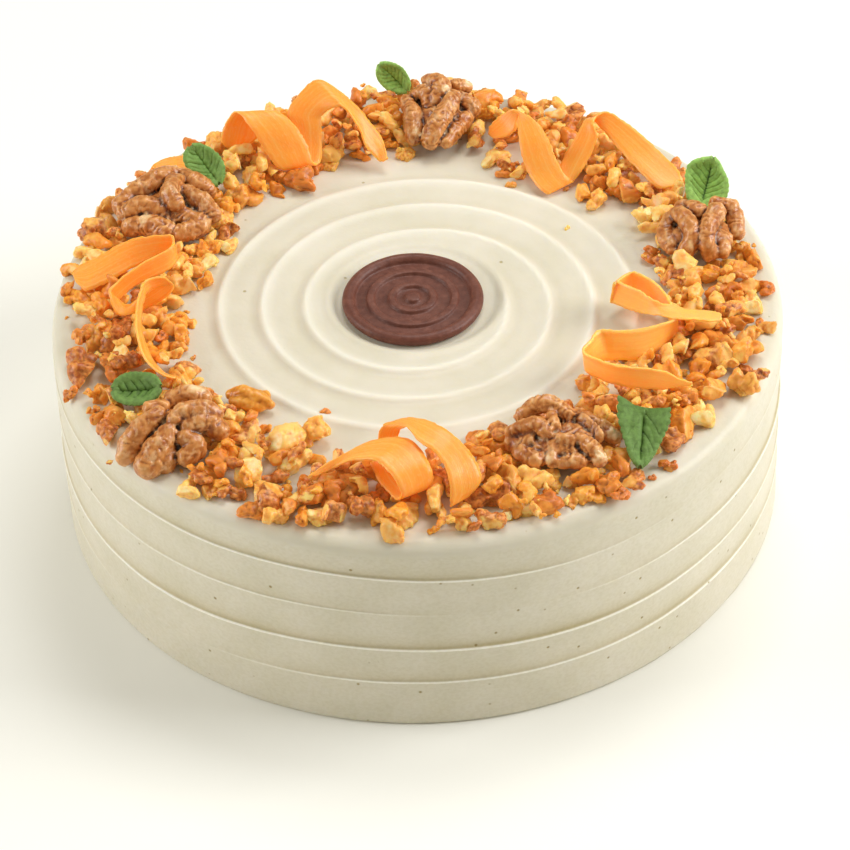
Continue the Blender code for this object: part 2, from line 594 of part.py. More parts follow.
def make_walnut_half(name, half, collection, material):
    """A flattened body with its folds fused on, each a tapered tube along its path."""
    centre = Vector((*half["centre"], 0)) * MM + Vector((0, 0, CAKE_HEIGHT))
    bm = bmesh.new()
    bmesh.ops.create_uvsphere(bm, u_segments=12, v_segments=6, radius=1.0)
    bmesh.ops.scale(bm, vec=Vector(half["body"]) * MM, verts=bm.verts[:])
    body_height = Vector((0, 0, half["body"][2] + 3.9)) * MM
    bmesh.ops.translate(bm, vec=centre + body_height, verts=bm.verts[:])
    walnut = new_object(name, mesh_from(bm, name), collection, material)
    folds = bpy.data.collections.new("folds")
    bpy.context.scene.collection.children.link(folds)
    for path in half["folds"]:
        places = [Vector(place) * MM for place in path]
        first, last = places[0], places[-1]
        start = (first - places[1]).xyz.normalized() * first.w * 0.8
        end = (last - places[-2]).xyz.normalized() * last.w * 0.8
        knots = [(first.xyz + start, first.w * 0.45)]
        knots += [(place.xyz, place.w) for place in places]
        knots += [(last.xyz + end, last.w * 0.45)]
        sections = bmesh.new()
        rings = []
        for k, (knot, radius) in enumerate(knots):
            ahead = knots[min(k + 1, len(knots) - 1)][0] - knots[max(k - 1, 0)][0]
            turn = ahead.to_track_quat("Z", "Y").to_matrix().to_4x4()
            made = bmesh.ops.create_circle(
                sections,
                segments=LOBE_SIDES,
                radius=radius,
                cap_ends=k in (0, len(knots) - 1),
                matrix=Matrix.Translation(centre + knot) @ turn,
            )
            rings.append(list({edge for vert in made["verts"] for edge in vert.link_edges}))
        for ring, following in zip(rings, rings[1:]):
            bmesh.ops.bridge_loops(sections, edges=ring + following)
        bmesh.ops.recalc_face_normals(sections, faces=sections.faces[:])
        new_object("fold", mesh_from(sections, "fold"), folds)
    fuse(walnut, folds, "EXACT")
    keep_outer_body(walnut)
    return walnut


def nut_bed(collection, material):
    """The low uneven ring that the chopped nuts stand in."""
    profile = [(0.0, 0.0), (0.12, 0.8), (0.3, 1.0), (0.7, 1.0), (0.88, 0.8), (1.0, 0.0)]
    bm = bmesh.new()
    section = [bm.verts.new((1.0 + share, 0.0, height)) for share, height in profile]
    edges = [bm.edges.new(pair) for pair in zip(section, section[1:] + section[:1])]
    bmesh.ops.spin(
        bm,
        geom=section + edges,
        cent=(0, 0, 0),
        axis=(0, 0, 1),
        dvec=(0, 0, 0),
        angle=math.tau,
        steps=NUT_BED_STEPS,
        use_merge=True,
        use_duplicate=False,
    )
    for vert in bm.verts:
        share = math.hypot(vert.co.x, vert.co.y) - 1.0
        angle = math.atan2(vert.co.y, vert.co.x)
        wander = 1.2 * math.sin(9 * angle) + 0.9 * math.sin(17 * angle + 1)
        inner = ring_value(WREATH_INNER, angle) - wander
        outer = ring_value(WREATH_OUTER, angle) + wander
        radius = (inner + (outer - inner) * share) * MM
        height = BED_BOTTOM + NUT_BED_HEIGHT * vert.co.z
        vert.co = Vector((radius * math.cos(angle), radius * math.sin(angle), height))
    bmesh.ops.recalc_face_normals(bm, faces=bm.faces[:])
    return new_object("chopped_walnuts", mesh_from(bm, "chopped_walnuts"), collection, material)


def crosses(chunk, place, shapes):
    """Whether a chunk, with the gap left round it, would cut into a shape or lie inside it."""
    grown = chunk.copy()
    middle = sum((vert.co for vert in grown.verts), Vector()) / len(grown.verts)
    for vert in grown.verts:
        vert.co += (vert.co - middle).normalized() * TOUCH_GAP * 1.3
    around = BVHTree.FromBMesh(grown)
    grown.free()
    for shape in shapes:
        if shape.overlap(around):
            return True
        spot, normal, _, distance = shape.find_nearest(place)
        if distance < CHUNK_LARGE * 2 and (place - spot).dot(normal) < 0:
            return True
    return False


def make_chopped_walnuts(others, collection, material):
    """The wreath: seeded chunks over the bed, each clear of the other pieces, fused into one body."""
    bed = nut_bed(collection, material)
    bpy.context.view_layer.update()
    graph = bpy.context.evaluated_depsgraph_get()
    shapes = [BVHTree.FromObject(other, graph) for other in others]
    chunks = bpy.data.collections.new("nut chunks")
    bpy.context.scene.collection.children.link(chunks)
    rng = random.Random(CHUNK_SEED)
    placed = []
    for _ in range(CHUNK_TRIES):
        if len(placed) == CHUNK_MOST:
            break
        angle = rng.uniform(0, math.tau)
        share = rng.uniform(-0.04, 1.05)
        inner, outer = ring_value(WREATH_INNER, angle), ring_value(WREATH_OUTER, angle)
        radius = (inner + (outer - inner) * share) * MM
        half_width = rng.uniform(CHUNK_SMALL, CHUNK_LARGE)
        half_size = Vector((half_width * rng.uniform(1.0, 1.4), half_width, half_width * 0.8))
        if 0.15 < share < 0.85:
            height = BED_TOP + half_width * rng.uniform(0.1, 0.5)
        else:
            height = BED_BOTTOM + half_size.z * 1.14
        place = Vector((radius * math.cos(angle), radius * math.sin(angle), height))
        if any((place - other).length < (half_width + size) * 0.8 for other, size in placed):
            continue
        chunk = nut_chunk(rng, half_size)
        turn = Matrix.Rotation(rng.uniform(0, math.tau), 4, "Z")
        bmesh.ops.transform(chunk, matrix=Matrix.Translation(place) @ turn, verts=chunk.verts[:])
        if crosses(chunk, place, shapes):
            chunk.free()
            continue
        new_object("chunk", mesh_from(chunk, "chunk"), chunks)
        placed.append((place, half_width))
    fuse(bed, chunks, "EXACT")
    keep_outer_body(bed)
    return bed


def main():
    clear_scene()
    cake_parts = bpy.data.collections.new("carrot cake")
    bpy.context.scene.collection.children.link(cake_parts)

    frosting = new_material("cream cheese frosting", (0.86, 0.80, 0.62), 0.5)
    chocolate = new_material("milk chocolate", (0.13, 0.06, 0.045), 0.45)
    carrot = new_material("carrot", (0.95, 0.32, 0.06), 0.4)
    mint = new_material("green fondant", (0.10, 0.29, 0.08), 0.6)
    walnut = new_material("walnut half", (0.45, 0.21, 0.10), 0.5)
    chopped = new_material("chopped walnut", (0.66, 0.34, 0.11), 0.45)

    cake = make_frosted_cake(cake_parts, frosting)
    toppings = [make_chocolate_disc(cake_parts, chocolate)]
    toppings.append(make_walnut_piece(cake_parts, chopped))
    for name, half in WALNUT_HALVES.items():
        toppings.append(make_walnut_half(name, half, cake_parts, walnut))
    for name, stations in CARROT_RIBBONS.items():
        toppings.append(make_ribbon(name, stations, cake_parts, carrot))
    for name, (places, blunt) in MINT_LEAVES.items():
        toppings.append(make_leaf(name, places, blunt, cake_parts, mint))
    make_chopped_walnuts([*toppings, cake], cake_parts, chopped)


main()
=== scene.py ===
"""A whole carrot cake: a round cake under cream cheese frosting, with a chocolate disc in the
middle and a wreath of chopped walnuts that carries walnut halves, carrot ribbons and leaves.

Metres, +Z up. The origin is the centre of the cake's underside, and -Y is the front."""

import math
import random

import bmesh
import bpy
import numpy as np
from mathutils import Matrix, Vector, noise
from mathutils.bvhtree import BVHTree
from mathutils.kdtree import KDTree


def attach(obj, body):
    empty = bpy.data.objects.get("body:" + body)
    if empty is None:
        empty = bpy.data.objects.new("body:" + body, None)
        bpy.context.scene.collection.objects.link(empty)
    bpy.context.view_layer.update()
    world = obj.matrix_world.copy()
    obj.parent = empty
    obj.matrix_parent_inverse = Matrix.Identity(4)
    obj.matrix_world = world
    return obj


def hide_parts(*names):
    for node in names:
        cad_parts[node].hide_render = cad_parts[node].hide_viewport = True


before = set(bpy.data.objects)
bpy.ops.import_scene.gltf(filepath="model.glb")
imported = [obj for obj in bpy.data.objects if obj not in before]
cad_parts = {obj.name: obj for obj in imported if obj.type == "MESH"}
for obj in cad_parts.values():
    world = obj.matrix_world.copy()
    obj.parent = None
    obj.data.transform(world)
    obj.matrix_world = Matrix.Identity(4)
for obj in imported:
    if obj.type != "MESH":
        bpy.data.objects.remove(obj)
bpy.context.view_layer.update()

# Cream cheese frosting. It covers the whole cake, which is four layers of carrot sponge. A
# spatula drew a shallow spiral on the turning top, and each pass round the side left a thin
# wavy lip at its upper edge. Small air bubbles have burst in it, mostly on the side.
mm = 0.001
cake_radius = 120.0 * mm
cake_height = 74.4 * mm
cake_taper = 1.2 * mm
edge_round = 4.6 * mm
rim_lip = 112.6 * mm
ledge_heights = (17.0 * mm, 30.5 * mm, 45.5 * mm, 61.0 * mm)
ledge_wave = 1.4 * mm
# Heights over a ledge, and how far the side stands out there, both in millimetres.
ledge_rows = (-9.0, -4.0, -1.6, -0.7, -0.3, -0.1, 0.05, 0.2, 0.5, 1.2, 2.6, 5.0, 8.5)
ledge_reach = (0.0, 0.1, 0.18, 0.24, 0.32, 0.32, 0.2, -0.06, -0.22, -0.26, -0.2, -0.1, 0.0)
dish_radius = 25.6 * mm
dish_depth = 0.7 * mm
spiral_centre = Vector((0.0, -4.5 * mm))
spiral_start = 71.0 * mm
spiral_pitch = 14.0 * mm
spiral_height = 1.3 * mm
spiral_outer = 77.0 * mm
frosting_steps = 300
row_gap = 0.8
base_recess = 0.9 * mm
base_ring = 8.0 * mm


def shade(red, green, blue):
    """A colour as a screen shows it, 0 to 255, in the linear values that a shader takes."""
    parts = (red / 255, green / 255, blue / 255)
    return (*((p / 12.92 if p < 0.04045 else ((p + 0.055) / 1.055) ** 2.4) for p in parts), 1.0)


def new_finish(name, roughness, specular=0.5, depth=None, coat=0.0):
    """A Principled material. depth is how far light goes in, as (weight, red, green, blue, metres)."""
    finish = bpy.data.materials.new(name)
    finish.use_nodes = True
    shader = finish.node_tree.nodes["Principled BSDF"]
    shader.inputs["Roughness"].default_value = roughness
    shader.inputs["Specular IOR Level"].default_value = specular
    shader.inputs["Coat Weight"].default_value = coat
    shader.inputs["Coat Roughness"].default_value = 0.18
    if depth:
        shader.inputs["Subsurface Weight"].default_value = depth[0]
        shader.inputs["Subsurface Radius"].default_value = depth[1:4]
        shader.inputs["Subsurface Scale"].default_value = depth[4]
    return finish


def cloudy(finish, scale, detail=4.0, stretch=(1, 1, 1), source="Object"):
    """Noise over a finish, from 0 to 1, with scale counted in spots for each metre."""
    nodes, links = finish.node_tree.nodes, finish.node_tree.links
    place = nodes.new("ShaderNodeTexCoord")
    mapping = nodes.new("ShaderNodeMapping")
    mapping.inputs["Scale"].default_value = stretch
    clouds = nodes.new("ShaderNodeTexNoise")
    clouds.inputs["Scale"].default_value = scale
    clouds.inputs["Detail"].default_value = detail
    links.new(place.outputs[source], mapping.inputs["Vector"])
    links.new(mapping.outputs["Vector"], clouds.inputs["Vector"])
    return clouds.outputs["Fac"]


def ramp(finish, value, *stops):
    """Colours or greys along a value: each stop is its place and its colour, from 0 to 255."""
    node = finish.node_tree.nodes.new("ShaderNodeValToRGB")
    elements = node.color_ramp.elements
    while len(elements) < len(stops):
        elements.new(0.5)
    for element, (place, colour) in zip(elements, stops):
        element.position = place
        element.color = shade(*colour)
    finish.node_tree.links.new(value, node.inputs["Fac"])
    return node.outputs["Color"]


def blend(finish, how, amount, first, second):
    """Two colours mixed. amount, first and second are each a socket or a plain value."""
    node = finish.node_tree.nodes.new("ShaderNodeMix")
    node.data_type = "RGBA"
    node.blend_type = how
    for place, value in ((0, amount), (6, first), (7, second)):
        if isinstance(value, bpy.types.NodeSocket):
            finish.node_tree.links.new(value, node.inputs[place])
        else:
            node.inputs[place].default_value = value
    return node.outputs[2]


def bubble_field(finish, scale):
    """Distance from the nearest of scattered points, where small air bubbles have burst."""
    nodes, links = finish.node_tree.nodes, finish.node_tree.links
    place = nodes.new("ShaderNodeTexCoord")
    cells = nodes.new("ShaderNodeTexVoronoi")
    cells.inputs["Scale"].default_value = scale
    cells.inputs["Randomness"].default_value = 1.0
    links.new(place.outputs["Object"], cells.inputs["Vector"])
    return cells.outputs["Distance"]


def mark(mesh, name, values):
    """Stores one number for each vertex, which a finish reads by name."""
    layer = mesh.attributes.new(name, "FLOAT", "POINT")
    layer.data.foreach_set("value", values)


def marked(finish, name):
    node = finish.node_tree.nodes.new("ShaderNodeAttribute")
    node.attribute_name = name
    return node.outputs["Fac"]


def colour_with(finish, colour):
    shader = finish.node_tree.nodes["Principled BSDF"]
    finish.node_tree.links.new(colour, shader.inputs["Base Color"])


def emboss(finish, *layers):
    """Bump nodes in a row. Each layer is a height socket, its depth in metres and its strength."""
    nodes, links = finish.node_tree.nodes, finish.node_tree.links
    normal = None
    for height, depth, strength in layers:
        bump = nodes.new("ShaderNodeBump")
        bump.inputs["Distance"].default_value = depth
        bump.inputs["Strength"].default_value = strength
        links.new(height, bump.inputs["Height"])
        if normal:
            links.new(normal, bump.inputs["Normal"])
        normal = bump.outputs["Normal"]
    links.new(normal, nodes["Principled BSDF"].inputs["Normal"])


def glow(finish, colour, strength):
    """A painted glow: a little light of the finish's own, standing in for light that thin flesh lets through.
    """
    shader = finish.node_tree.nodes["Principled BSDF"]
    shader.inputs["Emission Color"].default_value = colour
    shader.inputs["Emission Strength"].default_value = strength


def new_piece(name, bm, finish, nodes):
    """Makes the mesh an object that rides on the cake and stands for the CAD nodes named."""
    mesh = bpy.data.meshes.new(name)
    bm.to_mesh(mesh)
    bm.free()
    mesh.materials.append(finish)
    mesh.shade_smooth()
    piece = bpy.data.objects.new(name, mesh)
    bpy.context.scene.collection.objects.link(piece)
    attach(piece, "root")
    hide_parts(*nodes)
    return piece


def turned(profile, steps):
    """A solid turned round Z from a profile that starts and ends on the axis."""
    bm = bmesh.new()
    points = [bm.verts.new((radius, 0.0, height)) for radius, height in profile]
    edges = [bm.edges.new(pair) for pair in zip(points, points[1:])]
    bmesh.ops.spin(
        bm,
        geom=points + edges,
        cent=(0, 0, 0),
        axis=(0, 0, 1),
        dvec=(0, 0, 0),
        angle=math.tau,
        steps=steps,
        use_merge=True,
        use_duplicate=False,
    )
    bmesh.ops.remove_doubles(bm, verts=bm.verts[:], dist=1e-6)
    bmesh.ops.recalc_face_normals(bm, faces=bm.faces[:])
    return bm


def spiral_rise(x, y):
    """Height of the spatula's ridge, steep on its outer side, with a shallow trough beside it."""
    from_centre = Vector((x, y)) - spiral_centre
    turn = (from_centre.length - spiral_start) / spiral_pitch
    turn += math.atan2(from_centre.y, from_centre.x) / math.tau
    off_crest = (turn + 0.5) % 1.0 - 0.5
    if off_crest > 0:
        trough = 0.25 * math.exp(-(((off_crest - 0.25) / 0.14) ** 2))
        ridge = math.exp(-((off_crest / 0.1) ** 1.4)) - trough
    else:
        ridge = math.exp(off_crest / 0.13)
    radius = math.hypot(x, y)
    strength = 0.8 + 0.35 * noise.noise((x * 22, y * 22, 4.0))
    fade_in = min(1.0, max(0.0, (radius - dish_radius - 1.5 * mm) / (3 * mm)))
    fade_out = min(1.0, max(0.0, (spiral_outer - radius) / (8 * mm)))
    return spiral_height * ridge * strength * fade_in * fade_out


def frosting_top(x, y):
    """Height of the frosting's top at a place inside its rounded edge."""
    radius = math.hypot(x, y)
    dish = 1 - min(1.0, max(0.0, (radius - dish_radius) / (2.4 * mm)))
    dish = dish * dish * (3 - 2 * dish)
    uneven = 0.22 * mm * noise.noise((x * 45, y * 45, 1.0)) * (1 - dish)
    from_lip = (radius - rim_lip) / mm
    lip = math.exp(-((from_lip / 0.9) ** 2)) - 0.6 * math.exp(-((from_lip + 3) ** 2))
    lip *= 0.45 * mm * (0.7 + 0.8 * noise.noise((x * 12, y * 12, 3.0)))
    from_dish = (radius - dish_radius) / mm
    dish_lip = 0.45 * mm * math.exp(-(((from_dish - 3.2) / 1.3) ** 2))
    dish_lip *= 0.9 + 0.9 * noise.noise((x * 16, y * 16, 6.0))
    return cake_height + spiral_rise(x, y) - dish_depth * dish + uneven + lip + dish_lip


def ledge_strength(x, y, ledge):
    return max(0.1, 0.85 + 1.3 * noise.noise((x * 12, y * 12, ledge * 90)))


def side_offset(x, y, z):
    """How far the side stands out: a thin lip tops each pass, and the next starts behind it."""
    ledges = 0.0
    for ledge in ledge_heights:
        reach = np.interp((z - ledge) / mm, ledge_rows, ledge_reach)
        ledges += reach * mm * ledge_strength(x, y, ledge)
    strokes = 0.20 * mm * noise.noise((x * 22, y * 22, z * 150))
    dimples = 0.08 * mm * noise.noise((x * 130, y * 130, z * 300))
    broad = 0.45 * mm * noise.noise((x * 9, y * 9, z * 14))
    return ledges + strokes + dimples + broad


def painted_lip_light(x, y, z):
    """How the side is painted: 1 is a painted highlight on the thin lip of a ledge, 0 is painted shade just
    over it, and 0.5 elsewhere.
    """
    tone = 0.5
    for ledge in ledge_heights:
        over = (z - ledge) / mm
        strength = ledge_strength(x, y, ledge)
        if over < 0.1:
            tone += 0.5 * strength * math.exp(-(((over + 0.15) / 0.3) ** 2))
        else:
            tone -= 0.3 * strength * math.exp(-(over - 0.1) / 2.4)
    return min(1.0, max(0.0, tone))


frosting_profile = [(k * 1.0 * mm, cake_height) for k in range(114)]
for k in range(9):
    turn = math.radians(90 * k / 8)
    rim = cake_radius - cake_taper - edge_round
    height = cake_height - edge_round * (1 - math.cos(turn))
    frosting_profile.append((rim + edge_round * math.sin(turn), height))
side_top = cake_height - edge_round
side_heights = [ledge + row * mm for ledge in ledge_heights for row in ledge_rows[2:-3]]
for k in range(1, 87):
    height = row_gap * k * mm
    if min(abs(height - ledge) for ledge in ledge_heights) > 1.8 * mm:
        side_heights.append(height)
for height in sorted(side_heights, reverse=True):
    frosting_profile.append((cake_radius - cake_taper * height / cake_height, height))
frosting_profile += [(cake_radius - base_recess, 0.0), (cake_radius - base_ring, 0.0), (0.0, 0.0)]
bm = turned(frosting_profile, frosting_steps)
# These tones paint light and shade: a painted highlight on each ledge's lip and on the spiral's crests, and
# painted shade just over each lip and in the spiral's troughs.
painted_light_tones, side_shares = [], []
for vert in bm.verts:
    x, y, z = vert.co
    radius = math.hypot(x, y)
    tone = 0.5
    if z > cake_height - 0.01 * mm:
        vert.co.z = frosting_top(x, y)
        # A painted highlight on the spiral's crests, and painted shade in its troughs.
        tone += 0.32 * spiral_rise(x, y) / spiral_height
    elif z > 0.01 * mm:
        near_top = min(1.0, max(0.0, (cake_height - z) / edge_round))
        tone = painted_lip_light(x, y, z)
        vert.co.xy *= 1 + side_offset(x, y, z) * near_top / radius
        angle = math.atan2(y, x)
        wave = ledge_wave * (math.sin(2 * angle + 55 * z) + 0.5 * math.sin(5 * angle + 1.3))
        vert.co.z -= wave * max(0.0, min(1.0, z / (12 * mm), (side_top - z) / (8 * mm)))
        vert.co.z += 0.35 * mm * (1 - near_top) * noise.noise((x * 30, y * 30, 9.0))
    elif radius > cake_radius - 2 * mm:
        vert.co.xy *= 1 + 0.7 * mm * noise.noise((x * 60, y * 60, 2.0)) / radius
    painted_light_tones.append(tone)
    side_shares.append(1.0 if z < side_top else 0.0)

cream_cheese = new_finish("cream cheese frosting", 0.42, 0.35, (0.3, 1.0, 0.8, 0.45, 2.0 * mm))
butter_tone = ramp(
    cream_cheese,
    cloudy(cream_cheese, 60, 5),
    (0.3, (215, 208, 187)),
    (0.7, (223, 216, 199)),
)
# The lip mark paints light and shade: a painted highlight where it is high, painted shade where it is low.
lip = marked(cream_cheese, "lip")
painted_lip_highlight = ramp(cream_cheese, lip, (0.53, (0, 0, 0)), (0.92, (240, 240, 240)))
painted_cove_shade = ramp(cream_cheese, lip, (0.0, (228, 218, 188)), (0.5, (255, 255, 255)))
# Painted shade over each lip and in the spiral's troughs, then a painted highlight on the lips and crests.
butter_tone = blend(cream_cheese, "MULTIPLY", 1.0, butter_tone, painted_cove_shade)
butter_tone = blend(cream_cheese, "MIX", painted_lip_highlight, butter_tone, shade(252, 249, 238))
grain = ramp(
    cream_cheese,
    cloudy(cream_cheese, 760, 4, (1, 1, 1.4)),
    (0.36, (249, 248, 244)),
    (0.6, (255, 255, 255)),
)
on_side = marked(cream_cheese, "side")
butter_tone = blend(cream_cheese, "MULTIPLY", on_side, butter_tone, grain)
# Painted shade in the pits of burst bubbles, darker and denser on the side. The same field also dents the
# pits as bumps.
sparse_bubble_shade = ramp(
    cream_cheese,
    bubble_field(cream_cheese, 80),
    (0.03, (214, 204, 170)),
    (0.055, (255, 255, 255)),
)
side_bubble_shade = ramp(
    cream_cheese,
    bubble_field(cream_cheese, 130),
    (0.035, (196, 180, 134)),
    (0.085, (255, 255, 255)),
)
bubbles = blend(cream_cheese, "MIX", on_side, sparse_bubble_shade, side_bubble_shade)
colour_with(cream_cheese, blend(cream_cheese, "MULTIPLY", 1.0, butter_tone, bubbles))
emboss(
    cream_cheese,
    (bubbles, 0.6 * mm, 0.6),
    (cloudy(cream_cheese, 120, 3, (1, 1, 4)), 0.4 * mm, 0.3),
    (cloudy(cream_cheese, 560, 4, (1, 1, 1.4)), 0.22 * mm, 0.4),
)
frosting = new_piece("frosting", bm, cream_cheese, ["frosted_cake"])
mark(frosting.data, "lip", painted_light_tones)
mark(frosting.data, "side", side_shares)

# Chocolate disc. Milk chocolate, moulded with a thick rounded rim, a ring inside it and a
# small button in the middle. It lies in the flat dish that the spatula left.
disc_centre = Vector((-1.2 * mm, -2.3 * mm, 0.0))
disc_rest = cake_height - dish_depth + 0.1 * mm
rim_middle = 20.95
rim_half = 2.05
disc_steps = 120
# Radius and height of each turn in the disc's outline, in millimetres.
disc_outline = [
    (0.0, 3.1), (1.9, 3.05), (2.3, 2.95), (2.5, 2.7), (2.65, 2.1), (2.9, 1.9), (5.2, 1.9),
    (5.45, 2.05), (5.6, 2.7), (5.8, 2.92), (6.1, 3.0), (7.4, 3.0), (7.7, 2.92), (7.9, 2.7),
    (8.05, 2.05), (8.3, 1.87), (8.7, 1.85), (11.8, 1.85), (12.15, 1.87), (12.35, 2.05), (12.5, 2.7),
    (12.7, 2.92), (13.0, 3.0), (13.7, 2.9), (14.4, 3.0), (14.7, 2.92), (14.9, 2.7), (15.05, 2.05),
    (15.25, 1.87), (15.6, 1.85), (18.2, 1.7), (18.6, 1.72), (18.85, 1.95),
]
for degrees in range(165, -91, -15):
    turn = math.radians(degrees)
    disc_outline.append((rim_middle + rim_half * math.cos(turn), 1.9 + 1.9 * math.sin(turn)))
disc_outline.append((0.0, 0.0))
bm = turned([(radius * mm, height * mm) for radius, height in disc_outline], disc_steps)
for vert in bm.verts:
    x, y, z = vert.co
    if z > 0.2 * mm:
        vert.co.z += 0.10 * mm * noise.noise((x * 160, y * 160, 5.0))
        vert.co.xy *= 1 + 0.004 * noise.noise((x * 90, y * 90, 8.0))
bmesh.ops.translate(bm, vec=disc_centre + Vector((0, 0, disc_rest)), verts=bm.verts[:])
milk_chocolate = new_finish("milk chocolate", 0.48, 0.35, (0.08, 1.0, 0.5, 0.3, 0.6 * mm), 0.05)
bloom = ramp(
    milk_chocolate,
    cloudy(milk_chocolate, 420, 6),
    (0.32, (97, 53, 41)),
    (0.55, (110, 64, 50)),
    (0.78, (125, 77, 62)),
)
colour_with(milk_chocolate, bloom)
emboss(
    milk_chocolate,
    (cloudy(milk_chocolate, 260, 3), 0.25 * mm, 0.3),
    (cloudy(milk_chocolate, 1250, 3), 0.16 * mm, 0.8),
)
new_piece("moulded_disc", bm, milk_chocolate, ["chocolate_disc"])

# Walnut halves. Five shelled halves, and one broken lump on the bare frosting. Each is a
# kernel of fat folds with deep furrows between, under a thin brown skin.
walnut_voxel = 0.48 * mm
furrow_passes = 12
furrow_level = 0.47
furrow_depth = 6.0
rib_shift = 3.7 * mm
